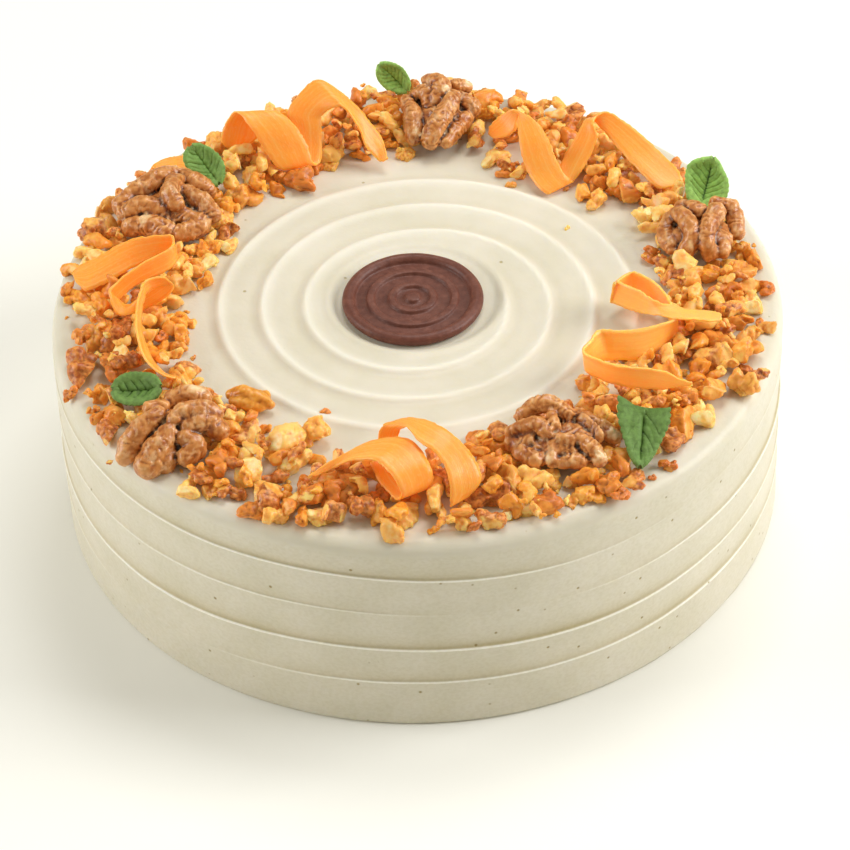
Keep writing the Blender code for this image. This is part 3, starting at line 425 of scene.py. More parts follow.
# A fold is a path of places and radii in millimetres from the half's own centre, and fatness
# swells it. Fine ribs have their spacing and height, and bare spots their place and radius.
walnut_halves = {
    "walnut_half_back_left": {
        "centre": (-83, 44),
        "fatness": 1.38,
        "ribs": (2.6, 0.16),
        "bare": [((-6, -9, 9), 2.5), ((14, 3, 9), 2.0)],
        "body": (11.5, 10.0, 3.6),
        "folds": [
            ((-14.5, 0, 9, 2.6), (-9, 5, 11, 2.8), (-2.5, 9, 13, 2.6), (2.5, 13, 12, 2)),
            ((3.5, 7, 13, 2.4), (2, -1, 14, 2.6), (4, -4.5, 12, 2.4)),
            ((-13.5, -4.5, 9, 2.2), (-7.5, -3, 11, 2.6), (-2, -4, 10, 2.6), (2, -5, 9, 2)),
            ((-11.5, -9, 6.4, 2.4), (-5.5, -9, 7, 3), (0.5, -12, 7, 3)),
            ((5.5, 12.5, 11, 2.2), (10, 9, 11, 2.6), (14, 7.5, 8, 2.2)),
            ((6.5, 3, 11, 2.4), (12, -1.5, 10, 3), (15.5, -5, 8, 2.6)),
            ((6.5, -5.5, 8, 2.6), (12, -9.5, 6.8, 2.8), (5.5, -13.5, 6.4, 2.4)),
        ],
    },
    "walnut_half_back": {
        "centre": (10, 91),
        "fatness": 1.26,
        "ribs": (2.6, 0.22),
        "bare": [((3, 4, 16), 2.0), ((-7, -11, 9), 2.0), ((11, 13, 12), 2.0)],
        "body": (9.0, 11.0, 3.6),
        "folds": [
            ((-11, 7, 9, 2.2), (-9, -3, 9, 2.8), (-9.5, -10, 6.5, 2.4)),
            ((5, 3.5, 13, 2.4), (2.5, -3, 12.5, 2.8), (-1, -9, 10.5, 3), (-3.5, -13, 7, 2.8)),
            ((-8, 9.5, 10, 2.2), (-4, 8, 12, 2.8), (-3, 3.5, 10, 2.4)),
            ((-3, 12.5, 14, 2.4), (1, 8.5, 15, 2.8), (-0.5, 4.5, 12, 2.8)),
            ((6, 12.5, 12, 2), (9.5, 13.5, 10, 2)),
            ((7.5, 5.5, 10, 2.8), (11.5, 3.5, 8, 2.8)),
            ((9, -1, 7, 2.4), (5, -8, 7, 2.4), (2, -13.5, 6, 2)),
        ],
    },
    "walnut_half_right_back": {
        "centre": (94, 20),
        "fatness": 1.36,
        "ribs": (3.2, 0.12),
        "bare": [((-4, -9, 9), 1.8), ((2, -9, 9), 1.8), ((9, -8, 7), 1.6)],
        "body": (10.0, 8.6, 3.4),
        "folds": [
            ((-7, 5.5, 12, 2.2), (-4, -1.5, 12.5, 2.4), (-3.5, -6.5, 10, 2.4), (-6, -8.5, 6, 2.2)),
            ((5.5, 4, 13, 2.4), (2, -3.5, 12.5, 2.4), (1, -7.5, 10, 2.4), (2.5, -9, 6, 2.2)),
            ((-9.5, 6, 9, 2), (-11.5, 0.5, 7, 2.2), (-10, -5, 6, 2)),
            ((-5.5, 9.5, 11, 2), (-1, 6.5, 12, 2.4), (2, 4, 11, 2)),
            ((6, 9.5, 12, 2), (10.5, 8.5, 11, 2.4)),
            ((12, 6.5, 9, 2.4), (12, 1, 7, 2.4)),
            ((7.5, -3, 7, 2.2), (6.5, -8, 6, 2)),
        ],
    },
    "walnut_half_right_front": {
        "centre": (43, -80),
        "fatness": 1.26,
        "ribs": (2.8, 0.2),
        "bare": [((15.5, 1.0, 7.5), 2.2), ((10.5, -8.5, 6.5), 3.0), ((-4.5, -9.5, 7), 1.4)],
        "flake": ((6.5, 3.5, 9.0), (8.5, 1.0, 3.6), -48),
        "body": (12.5, 8.0, 3.2),
        "folds": [
            ((-12.5, 8, 10, 1.8), (-9, 9.5, 12, 2.2), (-4, 10, 13, 2.4), (2, 7, 11, 1.8)),
            ((-15.5, 2, 9, 1.8), (-11.5, 2, 11, 2), (-7.5, 1.5, 12, 2.2), (-5, -1, 11, 2)),
            ((-2.5, 1, 12, 1.8), (-3, 5, 12, 1.6)),
            ((-15.5, -0.5, 6.5, 2), (-10, -1.5, 8, 2.2)),
            ((-13, -4.5, 6.2, 2.2), (-8.5, -7.5, 6.2, 2.4)),
            ((-3, -3.5, 8, 1.8), (-3.5, -8.5, 6, 2)),
            ((-1.5, -2.5, 9.5, 1.8), (2.5, -4, 9.5, 1.8)),
            ((5, -3, 9, 2), (8.5, -6, 8, 2.4), (10.5, -8.5, 6.2, 2.2)),
            ((-0.5, -9, 5.8, 1.8), (5, -9, 6, 2)),
            ((5, 9.5, 8.5, 1.8), (8.5, 6.5, 8.5, 2.2), (13.5, 3.5, 7, 2.2), (16, 1.5, 5.8, 1.8)),
        ],
    },
    "walnut_half_left_front": {
        "centre": (-76, -69),
        "fatness": 1.5,
        "ribs": (3.6, 0.12),
        "bare": [((7, 13, 12.5), 3.0), ((9, -4, 11), 1.0)],
        "body": (8.6, 7.6, 3.2),
        "folds": [
            ((-4.5, 2, 11, 2.2), (-9, -1, 8.5, 2.8), (-13, -4, 5, 2.8), (-14.5, -7, 3, 2.2)),
            ((-1, -4.5, 9.5, 2.2), (-4, -8, 7, 3), (-7, -12, 4, 3.2)),
            ((-1, -6, 6, 2.4), (-2, -10.5, 3.4, 2.4)),
            ((1, -1, 12, 1.8), (5, 1.5, 13, 2.2), (10, 2.5, 12.5, 2.2), (13.5, 2.5, 10, 1.8)),
            ((0, 12, 9, 2.2), (5, 12.5, 10, 2.4), (9, 12.5, 9, 2)),
            ((5.5, -2, 10, 2.4), (10.5, -0.5, 10, 2.8), (14, -2, 8, 2.4)),
            ((4.5, -5.5, 8, 2.4), (7.5, -8, 6.5, 2.4), (4.5, -10.5, 5, 2.2)),
            ((-7, 7.5, 9, 1.8), (-3.5, 8.5, 9, 1.8)),
        ],
    },
    "walnut_piece": {
        "centre": (-52.5, -52.5),
        "fatness": 1.3,
        "ribs": (3.2, 0.06),
        "bare": [((0, 0, 5), 12.0)],
        "body": (6.0, 3.4, 2.2),
        "folds": [
            ((-6.2, 2.6, 3.6, 1.5), (-2, 1.6, 4.8, 2.2), (2.5, -0.6, 4.6, 2.0), (5.6, -2.4, 3.6, 1.5)),
            ((-5.4, -0.6, 3.4, 1.5), (-1, -2.2, 3.6, 1.8), (3, -3.4, 3.2, 1.4)),
            ((0.5, 3.0, 3.4, 1.4), (4.5, 1.2, 3.6, 1.6)),
        ],
    },
}


def smooth_path(points, count):
    """Evenly counted places on a Catmull-Rom curve through the points."""
    ends = [points[0] * 2 - points[1]] + points + [points[-1] * 2 - points[-2]]
    found = []
    for k in range(count):
        place = k / (count - 1) * (len(points) - 1)
        i = min(int(place), len(points) - 2)
        t = place - i
        a, b, c, d = ends[i : i + 4]
        found.append(
            0.5 * (2 * b + (c - a) * t + (2 * a - 5 * b + 4 * c - d) * t**2 + (3 * b - a - 3 * c + d) * t**3)
        )
    return found


def add_fold(bm, path, centre, fatness):
    """A tapered tube with rounded ends along the path. It returns the places along its middle."""
    places = []
    for x, y, height, radius in path:
        places.append(Vector((x, y, height - 0.6 * (fatness - 1) * radius, radius * fatness)) * mm)
    knots = smooth_path(places, 4 * len(places))
    first = (knots[0] - knots[1]).xyz.normalized()
    last = (knots[-1] - knots[-2]).xyz.normalized()
    before, after = [], []
    for share in (0.95, 0.7, 0.4):
        drop = math.sqrt(1 - share**2)
        before.append(Vector((*(knots[0].xyz + first * knots[0].w * share), knots[0].w * drop)))
        after.insert(0, Vector((*(knots[-1].xyz + last * knots[-1].w * share), knots[-1].w * drop)))
    knots = before + knots + after
    rings = []
    for k, knot in enumerate(knots):
        ahead = knots[min(k + 1, len(knots) - 1)].xyz - knots[max(k - 1, 0)].xyz
        turn = ahead.to_track_quat("Z", "Y").to_matrix().to_4x4()
        made = bmesh.ops.create_circle(
            bm,
            segments=12,
            radius=knot.w,
            cap_ends=k in (0, len(knots) - 1),
            matrix=Matrix.Translation(centre + knot.xyz) @ turn,
        )
        rings.append(list({edge for vert in made["verts"] for edge in vert.link_edges}))
    for ring, following in zip(rings, rings[1:]):
        edges = [edge for edge in ring + following if edge.is_valid]
        bmesh.ops.bridge_loops(bm, edges=edges)
    return [centre + knot.xyz for knot in knots]


def remeshed(bm, voxel):
    """The outer skin of all the shells in bm, as one even mesh."""
    mesh = bpy.data.meshes.new("shells")
    bm.to_mesh(mesh)
    bm.free()
    shells = bpy.data.objects.new("shells", mesh)
    bpy.context.scene.collection.objects.link(shells)
    even = shells.modifiers.new("even", "REMESH")
    even.mode = "VOXEL"
    even.voxel_size = voxel
    graph = bpy.context.evaluated_depsgraph_get()
    skin = bmesh.new()
    skin.from_mesh(bpy.data.meshes.new_from_object(shells.evaluated_get(graph)))
    bpy.data.objects.remove(shells, do_unlink=True)
    return skin


def soften(bm, share, passes):
    for _ in range(passes):
        bmesh.ops.smooth_vert(
            bm, verts=bm.verts[:], factor=share, use_axis_x=True, use_axis_y=True, use_axis_z=True
        )


def crests(bm, passes, range_full):
    """How far each vertex stands over its smoothed surroundings, from 0 in a furrow to 1."""
    broad = bm.copy()
    soften(broad, 0.6, passes)
    bm.normal_update()
    found = [
        min(1.0, max(0.0, 0.5 + (vert.co - far.co).dot(vert.normal) / range_full))
        for vert, far in zip(bm.verts, broad.verts)
    ]
    broad.free()
    return found


walnut_skin = new_finish("walnut skin", 0.32, 0.45, (0.2, 1.0, 0.5, 0.25, 1.2 * mm), 0.16)
# The skin's colour follows the crest mark: painted shade, near black, deep in the furrows, and a painted
# highlight on the crests, over the skin's own brown.
skin_tone_and_shade = ramp(
    walnut_skin,
    marked(walnut_skin, "painted_crest_shading"),
    (0.1, (56, 26, 8)),
    (0.34, (148, 84, 35)),
    (0.52, (198, 127, 62)),
    (0.8, (238, 178, 110)),
)
blotches = ramp(
    walnut_skin,
    cloudy(walnut_skin, 260, 4),
    (0.34, (214, 186, 156)),
    (0.5, (246, 238, 228)),
    (0.62, (255, 255, 255)),
)
skin_tone_and_shade = blend(walnut_skin, "MULTIPLY", 1.0, skin_tone_and_shade, blotches)
streaks = ramp(
    walnut_skin,
    cloudy(walnut_skin, 560, 4, (1, 0.4, 1)),
    (0.52, (0, 0, 0)),
    (0.68, (190, 190, 190)),
)
skin_tone_and_shade = blend(walnut_skin, "MIX", streaks, skin_tone_and_shade, shade(242, 200, 148))
bare_flesh = ramp(
    walnut_skin, cloudy(walnut_skin, 420, 5), (0.35, (226, 176, 116)), (0.65, (252, 224, 178))
)
colour_with(walnut_skin, blend(walnut_skin, "MIX", marked(walnut_skin, "bare"), skin_tone_and_shade, bare_flesh))
emboss(
    walnut_skin,
    (cloudy(walnut_skin, 520, 3), 0.25 * mm, 0.35),
    (cloudy(walnut_skin, 1700, 3), 0.1 * mm, 0.4),
)

amber_flesh = new_finish("amber walnut flesh", 0.3, 0.42, (0.5, 1.0, 0.5, 0.15, 1.8 * mm), 0.12)
# Half of this is the crest mark: painted shade in the creases and painted light on the crests, mixed with the
# flesh's own clouded tone.
amber_clouds_and_shade = blend(amber_flesh, "MIX", 0.5, cloudy(amber_flesh, 300, 5), marked(amber_flesh, "painted_crest_shading"))
amber_tone_and_shade = ramp(
    amber_flesh,
    amber_clouds_and_shade,
    (0.3, (172, 92, 16)),
    (0.5, (222, 146, 44)),
    (0.7, (244, 184, 92)),
)
colour_with(amber_flesh, amber_tone_and_shade)
emboss(amber_flesh, (cloudy(amber_flesh, 700, 4), 0.2 * mm, 0.4))

toppings = []
for name, half in walnut_halves.items():
    centre = Vector((*half["centre"], 0)) * mm + Vector((0, 0, cake_height))
    bm = bmesh.new()
    bmesh.ops.create_uvsphere(bm, u_segments=24, v_segments=14, radius=1.0)
    bmesh.ops.scale(bm, vec=Vector(half["body"]) * mm, verts=bm.verts[:])
    lowest = 1.4 if name == "walnut_piece" else 3.9
    above = Vector((0, 0, (half["body"][2] + lowest) * mm))
    bmesh.ops.translate(bm, vec=centre + above, verts=bm.verts[:])
    middles = [add_fold(bm, path, centre, half["fatness"]) for path in half["folds"]]
    found = KDTree(sum(len(middle) for middle in middles))
    travelled = []
    for middle in middles:
        gone = rib_shift * len(travelled)
        for k, place in enumerate(middle):
            gone += (place - middle[max(k - 1, 0)]).length
            found.insert(place, len(travelled))
            way = middle[min(k + 1, len(middle) - 1)] - middle[max(k - 1, 0)]
            travelled.append((gone, way.normalized()))
    found.balance()
    if "flake" in half:
        place, size, heading = half["flake"]
        flake = bmesh.ops.create_uvsphere(bm, u_segments=20, v_segments=12, radius=1.0)["verts"]
        turn = Matrix.Rotation(math.radians(heading), 4, "Z") @ Matrix.Rotation(math.radians(-38), 4, "X")
        bmesh.ops.scale(bm, vec=Vector(size) * mm, verts=flake)
        bmesh.ops.transform(bm, matrix=Matrix.Translation(centre + Vector(place) * mm) @ turn, verts=flake)
    bm = remeshed(bm, walnut_voxel)
    soften(bm, 0.5, 2)
    bm.normal_update()
    for vert, stand in zip(bm.verts, crests(bm, furrow_passes, 2.0 * mm)):
        vert.co += vert.normal * min(0.0, stand - furrow_level) * furrow_depth * mm
    soften(bm, 0.5, 1)
    bm.normal_update()
    lumps, ribs = [], []
    for vert in bm.verts:
        place = vert.co / mm
        spot, index, _ = found.find(vert.co)
        gone, way = travelled[index]
        gone += (vert.co - spot).dot(way)
        wander = 1.3 * noise.noise(place * 0.3)
        rib = math.sin(math.tau * (gone / half["ribs"][0] / mm + wander))
        rib *= 0.6 + 0.9 * noise.noise(place * 0.2)
        ribs.append(rib)
        lump = 0.5 * noise.noise(place * 0.24) + 0.25 * noise.noise(place * 0.5 + Vector((5, 2, 8)))
        lump -= 1.8 * max(0.0, 0.1 - abs(noise.noise(place * 0.36)))
        lumps.append(lump + half["ribs"][1] * rib + 0.08 * noise.noise(place * 1.3))
    for vert, lump in zip(bm.verts, lumps):
        vert.co += vert.normal * lump * mm
    # How far each place stands out, for painted shade in the furrows and painted light on the crests, with
    # the fine ribs.
    values = [stand + 0.05 * rib for stand, rib in zip(crests(bm, furrow_passes, 1.3 * mm), ribs)]
    finish = amber_flesh if name == "walnut_piece" else walnut_skin
    walnut = new_piece(name.replace("walnut_", "kernel_"), bm, finish, [name])
    mark(walnut.data, "painted_crest_shading", values)
    scraped = []
    for vert in walnut.data.vertices:
        place = (vert.co - centre) / mm
        ragged = 1.4 * noise.noise(place * 0.7)
        nearest = min((place - Vector(spot)).length - radius for spot, radius in half["bare"])
        scraped.append(min(1.0, max(0.0, (ragged - nearest) / 0.8)))
    mark(walnut.data, "bare", scraped)
    toppings.append(walnut)

# Carrot ribbons. Thin strips of raw carrot from a peeler, curled and twisted, and laid over
# the nuts.
ribbon_thickness = 0.65 * mm
ribbon_step = 0.8 * mm
ribbon_columns = 9
fray_broad = 0.4 * mm
fray_fine = 0.35 * mm
ruffle_height = 0.22 * mm
taper_length = 3.5 * mm
end_width = 0.4
# Each ribbon is given by its two edges: a pair of places is one station along it, in
# millimetres, with the height counted from the top of the frosting.
carrot_ribbons = {
    "carrot_ribbon_front_left": [
        ((-34.0, -94.3, 8.5), (-34.4, -95.7, 8.0)), ((-25.4, -89.7, 11.0), (-27.5, -92.3, 8.5)),
        ((-15.2, -85.2, 13.0), (-21.4, -92.5, 12.0)), ((-6.3, -86.1, 15.0), (-15.3, -95.0, 14.5)),
        ((-1.2, -90.5, 15.5), (-11.7, -97.9, 14.5)), ((2.3, -97.5, 14.0), (-8.2, -102.4, 13.0)),
        ((3.1, -100.2, 10.0), (-6.4, -105.1, 9.5)), ((0.8, -100.1, 6.5), (-7.7, -103.7, 6.0)),
        ((-2.0, -96.4, 4.8), (-10.0, -99.8, 4.8)), ((-5.5, -90.0, 5.5), (-13.2, -94.4, 5.5)),
        ((-7.3, -84.3, 7.0), (-15.5, -88.1, 7.0)),
    ],
    "carrot_ribbon_front_right": [
        ((-13.5, -78.2, 4.5), (-7.8, -81.0, 4.5)), ((-12.0, -78.1, 12.3), (-6.3, -79.6, 11.8)),
        ((-8.7, -76.9, 13.3), (-4.6, -83.0, 16.3)), ((-3.3, -78.2, 15.8), (-3.0, -86.1, 17.8)),
        ((3.1, -82.1, 17.3), (-0.3, -91.4, 17.8)), ((8.2, -86.7, 17.3), (4.0, -94.7, 16.3)),
        ((12.5, -90.4, 15.3), (6.6, -98.0, 14.3)), ((15.9, -94.4, 12.3), (8.1, -101.9, 11.3)),
        ((17.5, -99.1, 8.3), (8.3, -104.6, 7.3)), ((13.5, -102.2, 4.8), (8.2, -106.3, 4.6)),
    ],
    "carrot_ribbon_right": [
        ((96.4, -26.5, 11.0), (95.4, -34.1, 13.0)), ((90.6, -26.2, 11.5), (88.9, -33.2, 13.5)),
        ((84.5, -25.4, 12.0), (83.1, -32.4, 13.5)), ((75.7, -22.7, 13.5), (74.6, -24.8, 9.5)),
        ((71.2, -18.4, 14.0), (70.3, -19.5, 6.5)), ((64.8, -12.7, 13.5), (63.5, -12.2, 4.5)),
        ((63.3, -13.2, 13.5), (62.7, -11.3, 4.5)), ((67.5, -8.6, 13.5), (67.4, -7.4, 4.5)),
        ((71.0, -8.3, 13.5), (71.1, -7.0, 4.5)), ((77.5, -14.1, 12.5), (77.7, -13.5, 4.5)),
        ((81.0, -25.3, 12.5), (81.3, -24.7, 4.5)), ((81.4, -30.8, 12.5), (81.5, -29.1, 4.5)),
        ((71.7, -35.3, 13.0), (71.5, -39.8, 4.4)), ((62.0, -36.9, 13.5), (62.9, -40.5, 4.5)),
        ((57.0, -36.1, 13.5), (59.2, -40.8, 4.5)), ((53.9, -41.3, 13.5), (55.0, -42.2, 4.5)),
        ((51.5, -47.0, 13.5), (52.4, -45.3, 4.5)), ((60.2, -53.5, 13.5), (60.3, -53.2, 5.5)),
        ((73.3, -56.6, 13.5), (73.3, -58.8, 7.5)), ((83.6, -61.8, 13.5), (84.0, -62.4, 10.5)),
    ],
    "carrot_ribbon_left": [
        ((-112.7, 12.8, 6.5), (-110.1, 4.2, 5.5)), ((-106.2, 12.9, 9.5), (-105.1, 3.5, 5.0)),
        ((-92.8, 18.5, 13.5), (-91.8, 12.7, 6.5)), ((-81.8, 17.5, 15.5), (-81.7, 15.6, 8.5)),
        ((-78.8, 16.5, 15.5), (-77.9, 14.3, 8.5)), ((-79.4, 10.5, 15.5), (-80.7, 7.9, 8.5)),
        ((-88.7, 4.5, 14.0), (-90.5, 2.8, 7.0)), ((-97.4, -3.0, 11.5), (-95.7, -1.9, 5.5)),
        ((-98.5, -6.4, 10.0), (-96.0, -2.8, 4.8)), ((-95.6, -10.4, 5.0), (-92.5, -6.4, 6.0)),
        ((-87.2, -7.7, 5.5), (-86.7, -7.3, 11.5)), ((-79.9, -6.7, 9.5), (-81.5, -6.5, 15.0)),
        ((-78.0, -6.1, 13.5), (-80.6, -7.3, 17.5)), ((-85.1, -8.3, 13.5), (-85.7, -9.0, 18.0)),
        ((-86.9, -14.1, 14.0), (-87.7, -14.9, 18.0)), ((-87.6, -22.3, 11.0), (-88.6, -28.4, 16.0)),
        ((-85.5, -31.4, 7.5), (-85.6, -41.0, 12.5)), ((-80.5, -39.9, 5.5), (-80.0, -47.4, 10.5)),
        ((-76.2, -42.4, 5.0), (-75.9, -48.5, 9.5)),
    ],
    "carrot_ribbon_back_left": [
        ((-66.3, 79.7, 4.6), (-53.7, 80.8, 4.6)), ((-63.6, 81.9, 13.5), (-50.5, 84.0, 13.5)),
        ((-59.4, 81.4, 18.5), (-46.3, 81.7, 18.5)), ((-54.5, 75.1, 16.0), (-39.6, 76.1, 16.0)),
        ((-49.9, 70.2, 10.0), (-35.7, 71.7, 11.0)), ((-45.8, 66.5, 5.3), (-33.7, 68.5, 5.5)),
        ((-41.5, 69.2, 4.6), (-31.1, 71.9, 4.6)), ((-41.1, 78.5, 13.0), (-30.6, 77.9, 13.0)),
        ((-42.0, 82.6, 17.5), (-30.3, 80.5, 16.5)), ((-34.7, 89.2, 23.5), (-25.5, 79.7, 20.5)),
        ((-29.2, 90.1, 24.0), (-21.7, 78.1, 20.5)), ((-19.8, 84.4, 19.0), (-17.4, 75.5, 13.5)),
        ((-15.4, 81.3, 15.0), (-15.6, 72.4, 9.0)), ((-9.9, 76.5, 8.5), (-11.7, 70.2, 4.7)),
        ((-8.4, 69.9, 5.1), (-10.1, 69.5, 4.3)),
    ],
    "carrot_ribbon_back_right": [
        ((28.8, 78.8, 5.0), (26.0, 84.6, 4.6)), ((35.2, 75.1, 11.0), (29.5, 81.7, 12.0)),
        ((36.9, 78.9, 15.5), (35.9, 79.4, 17.0)), ((36.5, 69.4, 12.0), (44.4, 71.5, 15.0)),
        ((38.9, 61.2, 4.5), (49.7, 59.8, 7.5)), ((43.9, 53.0, 1.6), (52.7, 56.9, 4.0)),
        ((46.9, 53.9, 1.4), (55.0, 57.9, 2.4)), ((50.7, 64.0, 5.4), (59.2, 62.1, 6.4)),
        ((56.1, 69.2, 12.5), (63.1, 67.3, 13.0)), ((60.4, 74.4, 16.0), (61.8, 70.3, 17.5)),
        ((64.6, 71.3, 14.0), (67.2, 74.3, 18.5)), ((71.5, 63.1, 9.0), (77.3, 68.7, 13.5)),
        ((80.9, 50.1, 5.0), (87.4, 58.6, 8.0)), ((85.6, 47.1, 4.6), (92.0, 54.3, 5.5)),
    ],
    "carrot_ribbon_back_flat": [
        ((-89.6, 71.8, 4.6), (-87.3, 68.0, 4.6)), ((-83.7, 74.8, 4.9), (-82.4, 69.0, 4.6)),
        ((-78.2, 74.8, 5.5), (-76.3, 67.0, 4.8)), ((-72.7, 73.6, 5.1), (-71.4, 66.0, 4.7)),
    ],
}

raw_carrot = new_finish("raw carrot", 0.36, 0.4, (0.85, 1.0, 0.36, 0.08, 2.6 * mm), 0.08)
# A painted glow over the whole carrot.
glow(raw_carrot, shade(255, 136, 34), 0.15)
fibres = cloudy(raw_carrot, 1.0, 5, (0.12, 9.0, 1.0), "UV")
peel_tone = ramp(
    raw_carrot, fibres, (0.3, (255, 152, 54)), (0.5, (255, 166, 68)), (0.72, (255, 186, 98))
)
dashes = cloudy(raw_carrot, 1.0, 3, (7.0, 22.0, 1.0), "UV")
pale_dashes = ramp(raw_carrot, dashes, (0.52, (0, 0, 0)), (0.7, (150, 150, 150)))
peel_tone = blend(raw_carrot, "MIX", pale_dashes, peel_tone, shade(255, 204, 130))
across_peel = raw_carrot.node_tree.nodes.new("ShaderNodeSeparateXYZ")
peel_place = raw_carrot.node_tree.nodes.new("ShaderNodeTexCoord")
raw_carrot.node_tree.links.new(peel_place.outputs["UV"], across_peel.inputs["Vector"])
thin_edge = ramp(
    raw_carrot,
    across_peel.outputs["Y"],
    (0.0, (110, 110, 110)),
    (0.06, (0, 0, 0)),
    (0.94, (0, 0, 0)),
    (1.0, (110, 110, 110)),
)
peel_tone = blend(raw_carrot, "MIX", thin_edge, peel_tone, shade(255, 208, 128))
# The pale mark paints the right ribbon paler, as painted light.
colour_with(raw_carrot, blend(raw_carrot, "MIX", marked(raw_carrot, "pale"), peel_tone, shade(255, 214, 120)))
emboss(
    raw_carrot,
    (cloudy(raw_carrot, 1.0, 3, (0.2, 14.0, 1.0), "UV"), 0.18 * mm, 0.3),
    (dashes, 0.16 * mm, 0.6),
    (cloudy(raw_carrot, 1300, 3), 0.08 * mm, 0.35),
)

for name, stations in carrot_ribbons.items():
    lift = Vector((0, 0, cake_height))
    edge_a = [Vector(a) * mm + lift for a, b in stations]
    edge_b = [Vector(b) * mm + lift for a, b in stations]
    length = sum((q - p).length for p, q in zip(edge_a, edge_a[1:]))
    count = round(length / ribbon_step)
    line_a, line_b = smooth_path(edge_a, count), smooth_path(edge_b, count)
    bm = bmesh.new()
    uv = bm.loops.layers.uv.new("peel")
    along = {}
    shares = [k / (ribbon_columns - 1) for k in range(ribbon_columns)]
    row = [bm.verts.new(line_a[0].lerp(line_b[0], 0.5 + (share - 0.5) * end_width)) for share in shares]
    edges = [bm.edges.new(pair) for pair in zip(row, row[1:])]
    for vert, share in zip(row, shares):
        along[vert] = (0.0, share)
    gone = 0.0
    for step in range(1, count):
        made = bmesh.ops.extrude_edge_only(bm, edges=edges)["geom"]
        gone += (line_a[step] - line_a[step - 1]).length / 2
        gone += (line_b[step] - line_b[step - 1]).length / 2
        new_row = []
        for vert in row:
            linked = [edge.other_vert(vert) for edge in vert.link_edges]
            new_row.append(next(other for other in linked if other not in along and other not in new_row))
        across = line_b[step] - line_a[step]
        forward = line_a[step] + line_b[step] - line_a[step - 1] - line_b[step - 1]
        normal = across.cross(forward).normalized()
        for k, (vert, share) in enumerate(zip(new_row, shares)):
            fray = fray_broad * noise.noise((gone * 420, share * 3, 2.0 + k // 5 * 9))
            fray += fray_fine * noise.noise((gone * 1100, share * 3, 7.0 + k // 5 * 9))
            ruffle = ruffle_height * noise.noise((gone * 160, share * 2.2, 5.0))
            from_end = max(0.0, min(gone, length - gone))
            kept = min(1.0, end_width + (1 - end_width) * math.sqrt(from_end / taper_length))
            vert.co = line_a[step].lerp(line_b[step], 0.5 + (share - 0.5) * kept) + normal * ruffle
            vert.co += across.normalized() * fray * abs(share - 0.5) * 2
            along[vert] = (gone, share)
        edges = [item for item in made if isinstance(item, bmesh.types.BMEdge)]
        row = new_row
    for face in bm.faces:
        for loop in face.loops:
            gone, share = along[loop.vert]
            loop[uv].uv = (gone * 100, share)
    bmesh.ops.recalc_face_normals(bm, faces=bm.faces[:])
    ribbon = new_piece(name.replace("carrot_", "peeled_"), bm, raw_carrot, [name])
    wall = ribbon.modifiers.new("thickness", "SOLIDIFY")
    wall.thickness = ribbon_thickness
    wall.offset = 0.0
    # The right ribbon is painted paler: painted light, for the light that shines through it from behind.
    painted_backlight = 0.45 if name == "carrot_ribbon_right" else 0.0
    mark(ribbon.data, "pale", [painted_backlight] * len(ribbon.data.vertices))
    toppings.append(ribbon)

# Mint leaves. Small leaves of green fondant, pressed in a mould that leaves a sunken midrib
# and veins, and set among the nuts.
leaf_thickness = 1.7 * mm
leaf_cup = 1.3 * mm
leaf_rows = 92
leaf_columns = 56
edge_teeth = 10
# Each leaf is its stem end, its tip and the middles of its two sides in millimetres, then its
# outline, its veins, how far it is toothed and how pale it is. An outline is the width of each
# side at six places from stem to tip, and how far each corner at the stem reaches back. Veins
# are their number, slant, reach, width, depth in millimetres and the share that each side has.
mint_leaves = {
    "mint_leaf_back": (
        ((-1.0, 111.0, 4.6), (-10.2, 113.8, 14.0), (-7.6, 112.1, 7.0), (1.0, 113.2, 11.0)),
        ((0.2, 0.75, 0.98, 1.0, 0.8, 0.2), (0.2, 0.75, 0.98, 1.0, 0.8, 0.2), (0.0, 0.0)),
        (3.6, 0.3, 0.9, 0.16, 1.0, (1.0, 1.0)),
        0.02,
        0.9,
    ),
    "mint_leaf_back_left": (
        ((-65.6, 56.2, 7.2), (-74.6, 66.2, 15.8), (-74.2, 59.6, 10.5), (-63.2, 62.2, 12.5)),
        ((0.25, 0.8, 1.0, 1.0, 0.9, 0.42), (0.3, 0.85, 1.02, 0.98, 0.72, 0.3), (0.0, 0.0)),
        (4.2, 0.26, 0.97, 0.17, 1.5, (1.0, 1.0)),
        0.03,
        0.6,
    ),
    "mint_leaf_right_back": (
        ((95.9, 37.2, 5.2), (100.3, 46.5, 18.0), (91.6, 44.1, 11.0), (105.7, 41.5, 11.5)),
        ((0.5, 0.82, 0.98, 1.08, 0.96, 0.1), (0.6, 0.98, 1.08, 0.96, 0.56, 0.1), (0.0, 0.0)),
        (7.5, 0.32, 0.88, 0.24, 1.0, (1.0, 1.0)),
        0.02,
        0.96,
    ),
    "mint_leaf_right_front": (
        ((68.1, -74.0, 13.0), (65.7, -91.6, 5.0), (76.1, -78.1, 9.5), (60.6, -78.0, 10.0)),
        ((1.0, 1.02, 0.86, 0.66, 0.42, 0.06), (1.02, 1.0, 0.84, 0.62, 0.4, 0.06), (0.02, 0.15)),
        (3.4, 0.42, 0.94, 0.16, 1.5, (0.15, 1.0)),
        0.045,
        0.46,
    ),
    "mint_leaf_left_front": (
        ((-80.5, -52.0, 9.0), (-95.2, -51.3, 8.0), (-87.2, -58.6, 6.8), (-86.7, -48.4, 11.0)),
        ((0.45, 0.9, 1.0, 1.0, 0.86, 0.4), (0.4, 0.86, 1.0, 1.0, 0.86, 0.4), (0.0, 0.0)),
        (5.4, 0.24, 0.66, 0.27, 1.8, (1.0, 1.0)),
        0.02,
        0.44,
    ),
}

